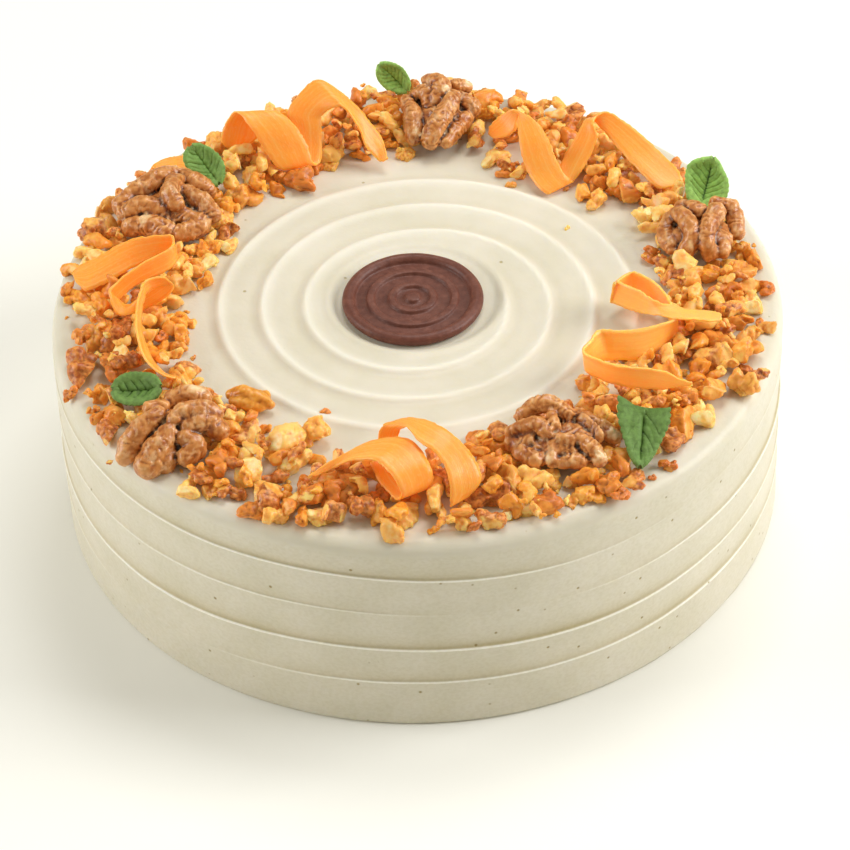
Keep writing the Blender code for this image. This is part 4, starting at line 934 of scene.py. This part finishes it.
green_fondant = new_finish("green fondant", 0.6, 0.3, (0.2, 0.6, 1.0, 0.4, 0.8 * mm))
# The leaf's colour follows the vein mark: painted shade in the sunken midrib and veins, and painted light on
# the swells between them.
leaf_tone_and_shade = ramp(
    green_fondant,
    marked(green_fondant, "painted_vein_shade"),
    (0.1, (50, 88, 30)),
    (0.5, (144, 192, 86)),
    (0.85, (182, 228, 126)),
)
dusting = ramp(
    green_fondant, cloudy(green_fondant, 800, 5), (0.3, (200, 200, 200)), (0.62, (255, 255, 255))
)
leaf_tone_and_shade = blend(green_fondant, "MULTIPLY", 0.8, leaf_tone_and_shade, dusting)
colour_with(green_fondant, blend(green_fondant, "MULTIPLY", 1.0, leaf_tone_and_shade, marked(green_fondant, "pale")))
emboss(
    green_fondant,
    (cloudy(green_fondant, 900, 3), 0.2 * mm, 0.5),
    (cloudy(green_fondant, 2400, 3), 0.1 * mm, 0.5),
)

for name, (places, outline, vein_shape, toothed, pale) in mint_leaves.items():
    stem, tip, left, right = [Vector(place) * mm + Vector((0, 0, cake_height)) for place in places]
    side = (right - left) / 2
    across = side - (tip - stem) * side.dot(tip - stem) / (tip - stem).length_squared
    normal = (tip - stem).cross(across).normalized()
    if normal.z < 0:
        normal.negate()
    left_widths, right_widths, reach_back = outline
    left_edge = smooth_path([Vector((width, 0)) for width in left_widths], 101)
    right_edge = smooth_path([Vector((width, 0)) for width in right_widths], 101)
    vein_count, slant, vein_reach, vein_width, vein_depth, side_depths = vein_shape
    bm = bmesh.new()
    bmesh.ops.create_grid(bm, x_segments=leaf_rows, y_segments=leaf_columns, size=0.5)
    veins = []
    for vert in bm.verts:
        along, out = vert.co.x + 0.5, vert.co.y * 2
        kept = 0.004 + 0.992 * (0.5 - 0.5 * math.cos(math.pi * along))
        edge = right_edge if out > 0 else left_edge
        width = edge[round(kept * 100)].x
        if kept > 0.5 or left_widths[0] < 0.9:
            width *= min(1.0, 0.15 + 3.2 * math.sqrt(kept * (1 - kept)))
        width *= 1 + toothed * math.sin(math.tau * edge_teeth * kept) * abs(out) ** 5
        start = kept - slant * abs(out) ** 0.95 + 0.05 * noise.noise((kept * 3, out * 2, stem.x * 90))
        between = (start * vein_count + (0.0 if out > 0 else 0.35)) % 1.0 - 0.5
        reach = min(1.0, max(0.0, (vein_reach - abs(out)) * 6)) * min(1.0, max(0.0, start) * 12)
        reach *= min(1.0, (1 - kept) * 7)
        reach *= side_depths[out < 0]
        narrowing = 1 - 0.35 * min(1.0, abs(out) / vein_reach)
        side_vein = math.exp(-((between / (vein_width * narrowing)) ** 2)) * reach
        from_end = min(kept, 1 - kept)
        midrib = math.exp(-((out * width / 0.1) ** 2)) * min(1.0, max(0.0, from_end * 8 - 0.6))
        groove = max(midrib, side_vein)
        swell = 0.5 * math.cos(math.tau * between) * reach
        rounding = max(0.0, abs(out) - 0.8) / 0.2
        bent = kept - reach_back[out > 0] * abs(out) ** 1.5 * (1 - kept) ** 4
        place = stem.lerp(tip, bent) + across * out * width
        bow = leaf_cup * (out * out * width - 0.9 * math.sin(math.pi * kept))
        crumple = 0.5 * noise.noise(place / (4 * mm))
        relief = (0.45 * swell - vein_depth * groove - 0.5 * rounding**2 + crumple) * mm
        vert.co = place + normal * (bow + relief)
        # Painted shade in the grooves and painted light on the swells.
        veins.append(min(1.0, max(0.0, 0.7 + 0.3 * swell - 0.8 * groove)))
    bmesh.ops.recalc_face_normals(bm, faces=bm.faces[:])
    leaf = new_piece(name.replace("mint_", "fondant_"), bm, green_fondant, [name])
    mark(leaf.data, "painted_vein_shade", veins)
    mark(leaf.data, "pale", [pale] * len(veins))
    wall = leaf.modifiers.new("thickness", "SOLIDIFY")
    wall.thickness = leaf_thickness
    wall.offset = 0.0
    toppings.append(leaf)

# Chopped walnuts. A loose wreath, two or three pieces deep, that was sprinkled on the soft
# frosting round the bare middle: pale broken flesh, golden and roasted pieces, and some with
# brown skin. The pieces that stand out are laid one by one at listed places, and smaller ones
# fill in between.
wreath_rise = 7.6 * mm
front_from = -66 * mm
field_cell = 0.8 * mm
field_side = 310
# A listed nut is its place, half its length, both in millimetres, and its heading in
# degrees. Places are as seen 3 mm over the frosting.
laid_nuts = {
    "pale": (
        (-92, -30, 5.4, -30), (-52.5, -61.5, 3.4, 60), (-42, -73, 7.0, 8), (-71, -90, 4.2, 90),
        (-38.5, -82, 5.2, 10), (-52, -84, 6.4, 75), (-49, -93.5, 4.6, 80), (-39, -98.5, 4.0, 30),
        (-31, -105, 4.2, 15), (-6, -106, 5.0, 25), (11, -109, 4.6, -50), (13, -103, 5.0, 70),
        (24.5, -107, 3.6, 50), (25, -80.5, 2.8, 0), (27, -94, 6.0, -70), (33, -94.5, 5.0, -50),
        (32, -103, 4.0, 80), (46, -93, 4.6, 70), (60, -86, 3.6, 20), (87, -67, 4.6, 35),
        (107, -13, 4.6, 50), (105, -28, 4.4, 80), (87, -5.5, 3.2, 0), (82, 13, 3.2, 70),
        (103, 9, 4.8, 70), (66, 76, 4.6, 90), (60, 92, 3.8, 60), (28, 74, 5.0, 30), (-104, 4, 4.0, -30),
        (-109, 28, 4.0, 20), (-99, 33, 3.6, 60), (-63, 29.5, 4.0, 10), (-69, 20, 4.4, 80),
        (-52, 77, 4.8, 80), (-26, 83, 4.8, -45), (-104, 51, 4.4, 90), (-55, 66, 5.6, 70),
        (-100, -2, 4.4, 60),
    ),
    "golden": (
        (-102.5, -17, 7.4, 84), (-83, -11, 4.6, -10), (-76, -22, 3.6, 60), (-99, -45, 4.4, 70),
        (-102, -52, 2.0, 0), (-75, -42, 6.0, -50), (-64, -91, 3.6, 60), (-32.5, -68.5, 5.0, -70),
        (-44, -105, 4.2, 20), (-25, -86, 4.2, 10), (4, -105, 5.8, -60), (24, -87, 3.2, 80),
        (40, -92, 4.8, 85), (44.5, -101, 3.2, 70), (54, -58.5, 5.8, 70), (67, -54, 4.0, 60),
        (85, -55, 6.0, 65), (101, -52.5, 4.8, -30), (97, -32, 6.6, -15), (103, -14, 3.6, 75),
        (106, -2, 5.6, 30), (89, 7, 5.4, -40), (107, 16, 5.8, 65), (105, 3, 5.4, 20), (62, 47, 5.2, 70),
        (87, 44, 4.2, 60), (45, 94, 4.4, -40), (33, 98, 4.6, 0), (25, 105, 4.6, 80), (-74, 27, 5.2, 0),
        (-72.5, 16, 3.4, 80), (-77, 13, 4.4, 40), (-64, 54, 4.6, 60), (-57, 55, 5.6, 35),
        (-64, 43, 4.2, 60), (-67, 87, 5.2, 80), (-28, 73, 3.2, 30), (-12, 100, 4.8, 30),
        (-7, 91, 5.0, 82), (-2, 77.5, 3.2, 20),
    ),
    "amber": (
        (-103, -6, 5.0, 70), (-75.5, -10.5, 4.8, 15), (-85, -25.5, 5.0, 45), (-102.5, -47, 2.6, 0),
        (-100, -56, 2.8, 20), (-65, -84, 4.4, 80), (-61, -78, 5.4, 40), (-42, -94, 3.2, 40),
        (-36, -106, 3.8, 60), (-13.5, -105, 5.0, -70), (19, -86, 5.0, -60), (28.5, -85, 3.2, 60),
        (50, -99, 4.4, 10), (80, -69, 5.8, -55), (52, -48, 5.0, -60), (75.5, -57, 4.6, -20),
        (91, -55.5, 5.4, 50), (103, -37.5, 5.6, 45), (102, -21, 4.8, -20), (86, -10, 4.6, -20),
        (83.5, 9, 4.0, 0), (96, 5, 4.4, 60), (110.5, 12, 4.6, 80), (57, 52, 4.4, -50), (69, 51, 3.6, 0),
        (50, 85, 5.2, 30), (40, 101, 3.8, 70), (27, 97, 4.8, 40), (-110, 4, 4.8, 25),
        (-69, 25.5, 3.8, 50), (-69, 10, 3.6, 60), (-78, 21, 4.0, 0), (-68, 57.5, 4.8, 80),
        (-62, 48, 4.0, 20), (-55, 84, 4.2, 50), (-43, 100, 4.6, 60), (-18, 78, 3.4, 0),
        (-8, 103, 4.6, 70), (-8, 84, 3.4, 0),
    ),
    "roasted": (
        (-107, -20, 3.8, 70), (-97, -32, 4.6, -60), (-96, -54, 5.4, -55), (-85, -6, 5.8, -25),
        (-82, -21, 2.6, 60), (-95, -38, 4.2, 20), (-110, -43.5, 2.8, 30), (-51, -102, 4.6, 20),
        (-33, -90, 4.4, 0), (-27, -98, 3.8, 60), (-13, -97, 4.4, 80), (-22, -95, 5.6, 85),
        (5, -91, 5.0, 60), (18, -73.5, 4.8, -30), (33, -86.5, 3.4, 0), (37, -104, 4.6, 50),
        (56, -96, 4.8, -60), (59, -101.5, 3.0, 40), (81, -61, 4.2, 20), (74, -53.5, 3.6, 0),
        (85, -22, 4.6, 70), (98, -5, 5.6, 78), (77.5, 17, 4.2, 60), (98, 12, 4.2, 0), (62, 62, 4.8, 80),
        (63, 56, 4.0, 30), (55, 86, 4.2, 70), (33, 85, 5.0, 40), (32, 66.5, 3.6, 60), (37, 64.5, 2.6, 80),
        (90, 60, 5.2, -60), (-114, 6.5, 2.8, 60), (-47, 67, 4.6, 0), (-38, 63, 6.2, -55),
        (-28, 89, 4.8, 60), (-76, 30, 3.8, 30), (73.5, -87, 1.8, 20), (69.5, -91.5, 1.4, 30),
    ),
    "skinned": (
        (-106, -33, 7.4, -72), (-95, -21, 6.4, 0), (-94.5, -12.5, 5.0, 20), (-92, -37, 4.0, 40),
        (-96, -64, 4.4, -60), (-70, -76, 3.8, 70), (-58, -93.5, 4.4, -30), (-54, -67.5, 5.8, 60),
        (-48, -76, 5.2, -40), (-45, -87, 4.2, 20), (-35.5, -94, 3.0, 60), (-18, -104, 4.6, 30),
        (19.5, -100, 6.6, 45), (20, -110, 4.4, 0), (64, -95.5, 5.2, 50), (57, -77, 4.2, 60),
        (77, -76, 4.8, -75), (63, -53, 4.6, 80), (106.5, -48, 3.0, 20), (92, -41, 6.0, 30),
        (78, -38, 5.6, 30), (84, -33, 5.2, -60), (95, -24, 5.4, 10), (94, -14, 4.2, 60),
        (86, -1.5, 5.0, 40), (84, 3, 4.8, -20), (80, 48, 4.0, 70), (76.5, 50, 3.8, 30), (70, 59, 6.6, 80),
        (56, 92, 5.8, 78), (22, 83, 6.2, 70), (31, 77, 5.2, 60), (-95.5, 14, 4.2, 80),
        (-106, 38, 6.6, 50), (-72, 35, 4.8, -60), (-62.5, 35.5, 4.4, 30), (-58, 76, 5.4, 75),
        (-20, 87, 5.4, -50), (-16, 103, 4.8, 0), (-10, 107, 4.6, 60),
    ),
}
# Crumbs that lie outside the wreath: kind, place, half length and heading.
loose_nuts = (
    ("golden", -34.0, -68.5, 3.9, 40),
    ("roasted", -29.5, -56.0, 1.9, 0),
    ("roasted", 113.5, -3.5, 3.9, 75),
    ("pale", 111.0, -23.0, 4.0, 10),
    ("skinned", 103.6, -45.2, 4.1, -20),
    ("golden", 100.6, -53.4, 3.5, -30),
    ("roasted", 75.5, -87.0, 2.6, 25),
    ("golden", -40.0, -64.5, 1.7, 60),
    ("skinned", -95.5, -76.0, 1.2, 0),
    ("pale", -93.3, -76.6, 1.5, 80),
    ("pale", 51.0, 34.0, 1.2, 20),
    ("golden", 33.0, 59.5, 2.4, 0),
)
# The wreath's inner and outer radius in millimetres, every 15 degrees from the right.
wreath_inner = (
    78, 78, 81, 78, 70, 82, 80, 79, 72, 75, 71, 69,
    73, 75, 80, 78, 79, 84, 78, 72, 67, 74, 66, 79,
)
wreath_outer = (
    112, 114, 108, 112, 116, 117, 118, 116, 116, 116, 117, 117,
    116, 112, 114, 116, 112, 115, 116, 115, 113, 110, 109, 112,
)
# Each kind of nut: how often it comes, at the front and elsewhere, then its outside and its
# broken faces, dark and light. The outside's dark is also painted shade in its creases.
nut_kinds = {
    "pale": (
        (0.1, 0.32),
        ((233, 152, 62), (253, 205, 116), (250, 194, 98), (255, 233, 172)),
    ),
    "golden": (
        (0.2, 0.3),
        ((218, 134, 46), (251, 190, 96), (245, 174, 68), (255, 223, 146)),
    ),
    "amber": (
        (0.32, 0.14),
        ((202, 108, 22), (243, 166, 62), (238, 154, 44), (255, 206, 116)),
    ),
    "roasted": (
        (0.18, 0.07),
        ((158, 80, 20), (228, 143, 60), (222, 136, 44), (252, 188, 96)),
    ),
    "skinned": (
        (0.2, 0.17),
        ((166, 94, 38), (238, 168, 94), (240, 170, 70), (255, 219, 134)),
    ),
}
# Each size of nut: its voxel against half its length, its flat breaks, how many shapes it has,
# and where its seeds start.
nut_grades = {"large": (0.13, 3, 12, 0), "small": (0.23, 3, 12, 50), "crumb": (0.4, 1, 5, 80)}


def ring_value(values, angle):
    """A value round the wreath, in metres, from values at equal angles."""
    place = angle % math.tau / math.tau * len(values)
    i = int(place)
    t = place - i
    return (values[i % len(values)] * (1 - t) + values[(i + 1) % len(values)] * t) * mm


def broken_nut(name, seed, voxel, cuts, finish):
    """One chopped piece, from -1 to 1 each way: a few fused lobes, broken off flat in places."""
    rng = random.Random(seed)
    offset = Vector((rng.uniform(0, 90), rng.uniform(0, 90), rng.uniform(0, 90)))
    bm = bmesh.new()
    lobes = rng.choice((2, 3, 3, 4))
    for k in range(lobes):
        lobe = bmesh.ops.create_icosphere(bm, subdivisions=2, radius=rng.uniform(0.44, 0.68))["verts"]
        along = (k + 0.5) / lobes * 1.6 - 0.8 + rng.uniform(-0.12, 0.12)
        place = Vector((along, rng.uniform(-0.36, 0.36), rng.uniform(-0.25, 0.25)))
        turn = Matrix.Rotation(rng.uniform(-1.2, 1.2), 4, "Z")
        turn = turn @ Matrix.Rotation(rng.uniform(-0.6, 0.6), 4, "Y")
        size = Matrix.Diagonal((rng.uniform(1.0, 1.7), rng.uniform(0.7, 1.1), rng.uniform(0.7, 1.1), 1.0))
        bmesh.ops.transform(bm, matrix=Matrix.Translation(place) @ turn @ size, verts=lobe)
    bm = remeshed(bm, voxel)
    bm.normal_update()
    lumps = []
    for vert in bm.verts:
        crease = max(0.0, 0.15 - abs(noise.noise(vert.co * 1.6 + offset)))
        swell = 0.2 * noise.noise(vert.co * 1.7 - offset) + 0.09 * noise.noise(vert.co * 4 + offset)
        lumps.append(swell - 0.6 * crease)
    for vert, lump in zip(bm.verts, lumps):
        vert.co += vert.normal * lump
    broken = [0.0] * len(bm.verts)
    for _ in range(cuts):
        way = Vector((rng.gauss(0, 0.7), rng.gauss(0, 1), rng.gauss(0, 1))).normalized()
        level = max(vert.co.dot(way) for vert in bm.verts) * rng.uniform(0.48, 0.75)
        for k, vert in enumerate(bm.verts):
            over = vert.co.dot(way) - level
            if over > 0:
                vert.co -= way * (over * 0.95 + 0.05 * noise.noise(vert.co * 3 + offset))
                broken[k] = max(broken[k], min(1.0, over * 9))
    values = crests(bm, 4, 0.22)
    for axis in range(3):
        low = min(vert.co[axis] for vert in bm.verts)
        high = max(vert.co[axis] for vert in bm.verts)
        for vert in bm.verts:
            vert.co[axis] = (vert.co[axis] - low) / (high - low) * 2 - 1
    mesh = bpy.data.meshes.new(name)
    bm.to_mesh(mesh)
    bm.free()
    mesh.materials.append(finish)
    mesh.shade_smooth()
    mark(mesh, "broken", broken)
    mark(mesh, "painted_crest_shading", values)
    mark(mesh, "tone", [rng.random()] * len(broken))
    return mesh


nut_shapes = {}
for kind, (shares, (deep, light, broken_deep, broken_light)) in nut_kinds.items():
    flesh = new_finish("walnut " + kind, 0.34, 0.34, (0.6, 1.0, 0.5, 0.15, 2.0 * mm), 0.06)
    # A faint painted glow over each piece.
    glow(flesh, shade(255, 176, 76), 0.04)
    clouds = cloudy(flesh, 330, 5)
    # Half of the outside's colour follows the crest mark: painted shade in the creases and painted light on
    # the crests.
    clouds_and_crest_shade = blend(flesh, "MIX", 0.5, clouds, marked(flesh, "painted_crest_shading"))
    outside = ramp(flesh, clouds_and_crest_shade, (0.32, deep), (0.6, light))
    if kind == "skinned":
        veined = ramp(flesh, cloudy(flesh, 650, 4), (0.36, (190, 140, 100)), (0.6, (255, 255, 255)))
        outside = blend(flesh, "MULTIPLY", 1.0, outside, veined)
    inside = ramp(flesh, cloudy(flesh, 420, 4), (0.34, broken_deep), (0.62, broken_light))
    colour = blend(flesh, "MIX", marked(flesh, "broken"), outside, inside)
    tone = ramp(flesh, marked(flesh, "tone"), (0.0, (232, 208, 180)), (0.6, (255, 255, 255)))
    colour_with(flesh, blend(flesh, "MULTIPLY", 1.0, colour, tone))
    emboss(flesh, (cloudy(flesh, 700, 4), 0.3 * mm, 0.45), (cloudy(flesh, 2000, 3), 0.1 * mm, 0.5))
    seed = 100 * len(nut_shapes)
    nut_shapes[kind] = {}
    for grade, (voxel, cuts, count, first) in nut_grades.items():
        seeds = range(seed + first, seed + first + count)
        nut_shapes[kind][grade] = [
            broken_nut(f"{kind} {grade} {number}", number, voxel, cuts, flesh) for number in seeds
        ]

bpy.context.view_layer.update()
graph = bpy.context.evaluated_depsgraph_get()
topping_shapes = [BVHTree.FromObject(topping, graph) for topping in toppings]
field_start = -field_cell * field_side / 2
field = np.empty((field_side, field_side))
for i in range(field_side):
    for j in range(field_side):
        x, y = field_start + i * field_cell, field_start + j * field_cell
        field[i, j] = frosting_top(x, y) - 0.5 * mm


def field_window(place, reach):
    """The part of the height field round a place, and how far each of its cells is from it."""
    i = (place.x - field_start) / field_cell
    j = (place.y - field_start) / field_cell
    n = int(reach / field_cell) + 1
    i0, j0 = max(0, int(i) - n), max(0, int(j) - n)
    window = field[i0 : i0 + 2 * n + 2, j0 : j0 + 2 * n + 2]
    rows, columns = np.indices(window.shape)
    return window, (rows + i0 - i) * field_cell, (columns + j0 - j) * field_cell


def meets_topping(shape, matrix, place, reach):
    """Whether a nut there would cut into a topping, or lie inside a walnut half."""
    for k, topping in enumerate(topping_shapes):
        spot, way, _, distance = topping.find_nearest(place, reach + 9 * mm)
        if spot is None:
            continue
        if k < len(walnut_halves) and (place - spot).dot(way) < 0:
            return True
        if distance < reach * 1.1:
            corners = [matrix @ vert.co for vert in shape.vertices]
            faces = [tuple(face.vertices) for face in shape.polygons]
            if topping.overlap(BVHTree.FromPolygons(corners, faces)):
                return True
    return False


rng = random.Random(7)


def lay_nut(copies, kind, grade, x, y, size, rise, heading=None):
    """Rests a nut of that half length on what lies there already, unless it would stand too high."""
    shape = rng.choice(nut_shapes[kind][grade])
    half = Vector((size, size * rng.uniform(0.58, 0.92), size * rng.uniform(0.46, 0.74)))
    tilt = 0.45 if heading is None else 0.2
    heading = rng.uniform(0, math.tau) if heading is None else math.radians(heading)
    turn = Matrix.Rotation(heading, 4, "Z")
    turn = turn @ Matrix.Rotation(rng.gauss(0, tilt), 4, "X") @ Matrix.Rotation(rng.gauss(0, tilt), 4, "Y")
    place = Vector((x, y, 0.0))
    window, along_x, along_y = field_window(place, size)
    near = np.hypot(along_x, along_y) < size * 0.7
    if not near.any():
        return False
    place.z = 0.6 * window[near].mean() + 0.4 * np.percentile(window[near], 80) + half.z * 0.72
    if place.z + half.z * 0.8 > cake_height + rise:
        return False
    matrix = Matrix.Translation(place) @ turn @ Matrix.Diagonal((*half, 1.0))
    if meets_topping(shape, matrix, place, size):
        return False
    along = turn.to_3x3() @ Vector((1, 0, 0))
    ahead = along_x * along.x + along_y * along.y
    aside = along_y * along.x - along_x * along.y
    apart = (ahead / half.x) ** 2 + (aside / half.y) ** 2
    top = place.z + half.z * 0.8 * np.sqrt(np.clip(1 - apart, 0, 1))
    window[:] = np.where(apart < 1, np.maximum(window, top), window)
    copies[kind].append((shape, matrix))
    return True


def sprinkle(copies, count, small, big, from_share, to_share, grade):
    """Lays nuts at random round the wreath, each of a random size and kind."""
    for _ in range(count):
        angle = rng.uniform(0, math.tau)
        inner, outer = ring_value(wreath_inner, angle), ring_value(wreath_outer, angle)
        share = rng.uniform(from_share, to_share)
        radius = inner + (outer - inner) * share
        rise = wreath_rise * min(1.12, 0.62 + 2.0 * max(0.0, min(share, 1 - share)))
        x, y = radius * math.cos(angle), radius * math.sin(angle)
        shares = [value[0][y > front_from] for value in nut_kinds.values()]
        size, kind = rng.uniform(small, big), rng.choices(list(nut_kinds), shares)[0]
        for smaller in (1.0, 0.85, 0.7):
            if lay_nut(copies, kind, grade, x, y, size * smaller, rise):
                break


def join_nuts(name, copies, node):
    """Makes one mesh of copies of the nut shapes, riding on the cake in the place of a CAD node."""
    holders = []
    for shape, matrix in copies:
        holder = bpy.data.objects.new("nut", shape)
        holder.matrix_world = matrix
        bpy.context.scene.collection.objects.link(holder)
        holders.append(holder)
    joined = holders[0]
    joined.data = joined.data.copy()
    with bpy.context.temp_override(active_object=joined, selected_editable_objects=holders):
        bpy.ops.object.join()
    joined.data.transform(joined.matrix_world)
    joined.matrix_world = Matrix.Identity(4)
    joined.name = name
    joined.data.name = name
    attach(joined, "root")
    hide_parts(node)


loose = {kind: [] for kind in nut_kinds}
for kind, x, y, size, heading in loose_nuts:
    lay_nut(loose, kind, "large" if size > 2 else "small", x * mm, y * mm, size * mm, wreath_rise, heading)
wreath = {kind: [] for kind in nut_kinds}
for kind, nuts in laid_nuts.items():
    for x, y, size, heading in nuts:
        for smaller in (1.12, 0.95, 0.78, 0.6):
            length = size * smaller * mm
            if lay_nut(wreath, kind, "large", x * mm, y * mm, length, wreath_rise + 2 * mm, heading):
                break
sprinkle(wreath, 460, 4.8 * mm, 6.4 * mm, 0.08, 0.94, "small")
sprinkle(wreath, 380, 3.4 * mm, 4.8 * mm, 0.03, 0.98, "small")
sprinkle(wreath, 160, 1.8 * mm, 2.8 * mm, 0.0, 1.0, "small")
sprinkle(wreath, 120, 0.6 * mm, 1.4 * mm, -0.05, 1.04, "crumb")

join_nuts("loose_nuts", [copy for copies in loose.values() for copy in copies], "frosted_cake")
for kind, copies in wreath.items():
    join_nuts("chopped_" + kind, copies, "chopped_walnuts")

# Stage. A plain pale floor, soft studio light from both sides and behind, with less of it on
# the front, and a camera that looks down on the front at 41 degrees.
floor_half_width = 4.0
light_target = Vector((0, 0, 0.04))
floor_mesh = bpy.data.meshes.new("floor")
bm = bmesh.new()
bmesh.ops.create_grid(bm, x_segments=1, y_segments=1, size=floor_half_width)
bm.to_mesh(floor_mesh)
bm.free()
floor = bpy.data.objects.new("floor", floor_mesh)
bpy.context.scene.collection.objects.link(floor)
pale = new_finish("pale floor", 0.7, 0.2)
pale.node_tree.nodes["Principled BSDF"].inputs["Base Color"].default_value = (0.93, 0.92, 0.87, 1.0)
floor_mesh.materials.append(pale)


def softbox(name, place, width, height, power):
    """A rectangle of white light that faces the cake."""
    light = bpy.data.lights.new(name, "AREA")
    light.shape = "RECTANGLE"
    light.size = width
    light.size_y = height
    light.energy = power
    holder = bpy.data.objects.new(name, light)
    holder.matrix_world = Matrix.Translation(place) @ (
        (light_target - Vector(place)).to_track_quat("-Z", "Y").to_matrix().to_4x4()
    )
    bpy.context.scene.collection.objects.link(holder)


softbox("right softbox", (1.3, 0.02, 0.85), 0.8, 0.8, 18)
softbox("top softbox", (0.25, 0.6, 1.5), 0.7, 0.6, 9)
softbox("left softbox", (-1.35, -0.05, 0.6), 0.8, 0.8, 11.4)

world = bpy.data.worlds.new("studio")
bpy.context.scene.world = world
world.use_nodes = True
world.node_tree.nodes["Background"].inputs["Color"].default_value = (1.0, 0.97, 0.82, 1.0)
world.node_tree.nodes["Background"].inputs["Strength"].default_value = 0.36

camera_pitch = math.radians(40.99)
camera_roll = math.radians(-1.92)
camera_distance = 1041.9 * mm
camera_aim = Vector((1.38 * mm, 22.15 * mm, 0.0))
sensor_width = 36.0
focal_pixels = 3000.0
picture_pixels = 850.0
forward = Vector((0, math.cos(camera_pitch), -math.sin(camera_pitch)))
level_right, level_up = Vector((1, 0, 0)), Vector((0, math.sin(camera_pitch), math.cos(camera_pitch)))
right = level_right * math.cos(camera_roll) + level_up * math.sin(camera_roll)
up = level_up * math.cos(camera_roll) - level_right * math.sin(camera_roll)
lens = bpy.data.cameras.new("camera")
lens.sensor_width = sensor_width
lens.lens = focal_pixels / picture_pixels * sensor_width
lens.clip_start = 0.01
camera = bpy.data.objects.new("camera", lens)
camera.matrix_world = Matrix.Translation(camera_aim - forward * camera_distance) @ Matrix(
    (right, up, -forward)
).transposed().to_4x4()
bpy.context.scene.collection.objects.link(camera)
bpy.context.scene.camera = camera
bpy.context.scene.view_settings.view_transform = "Standard"
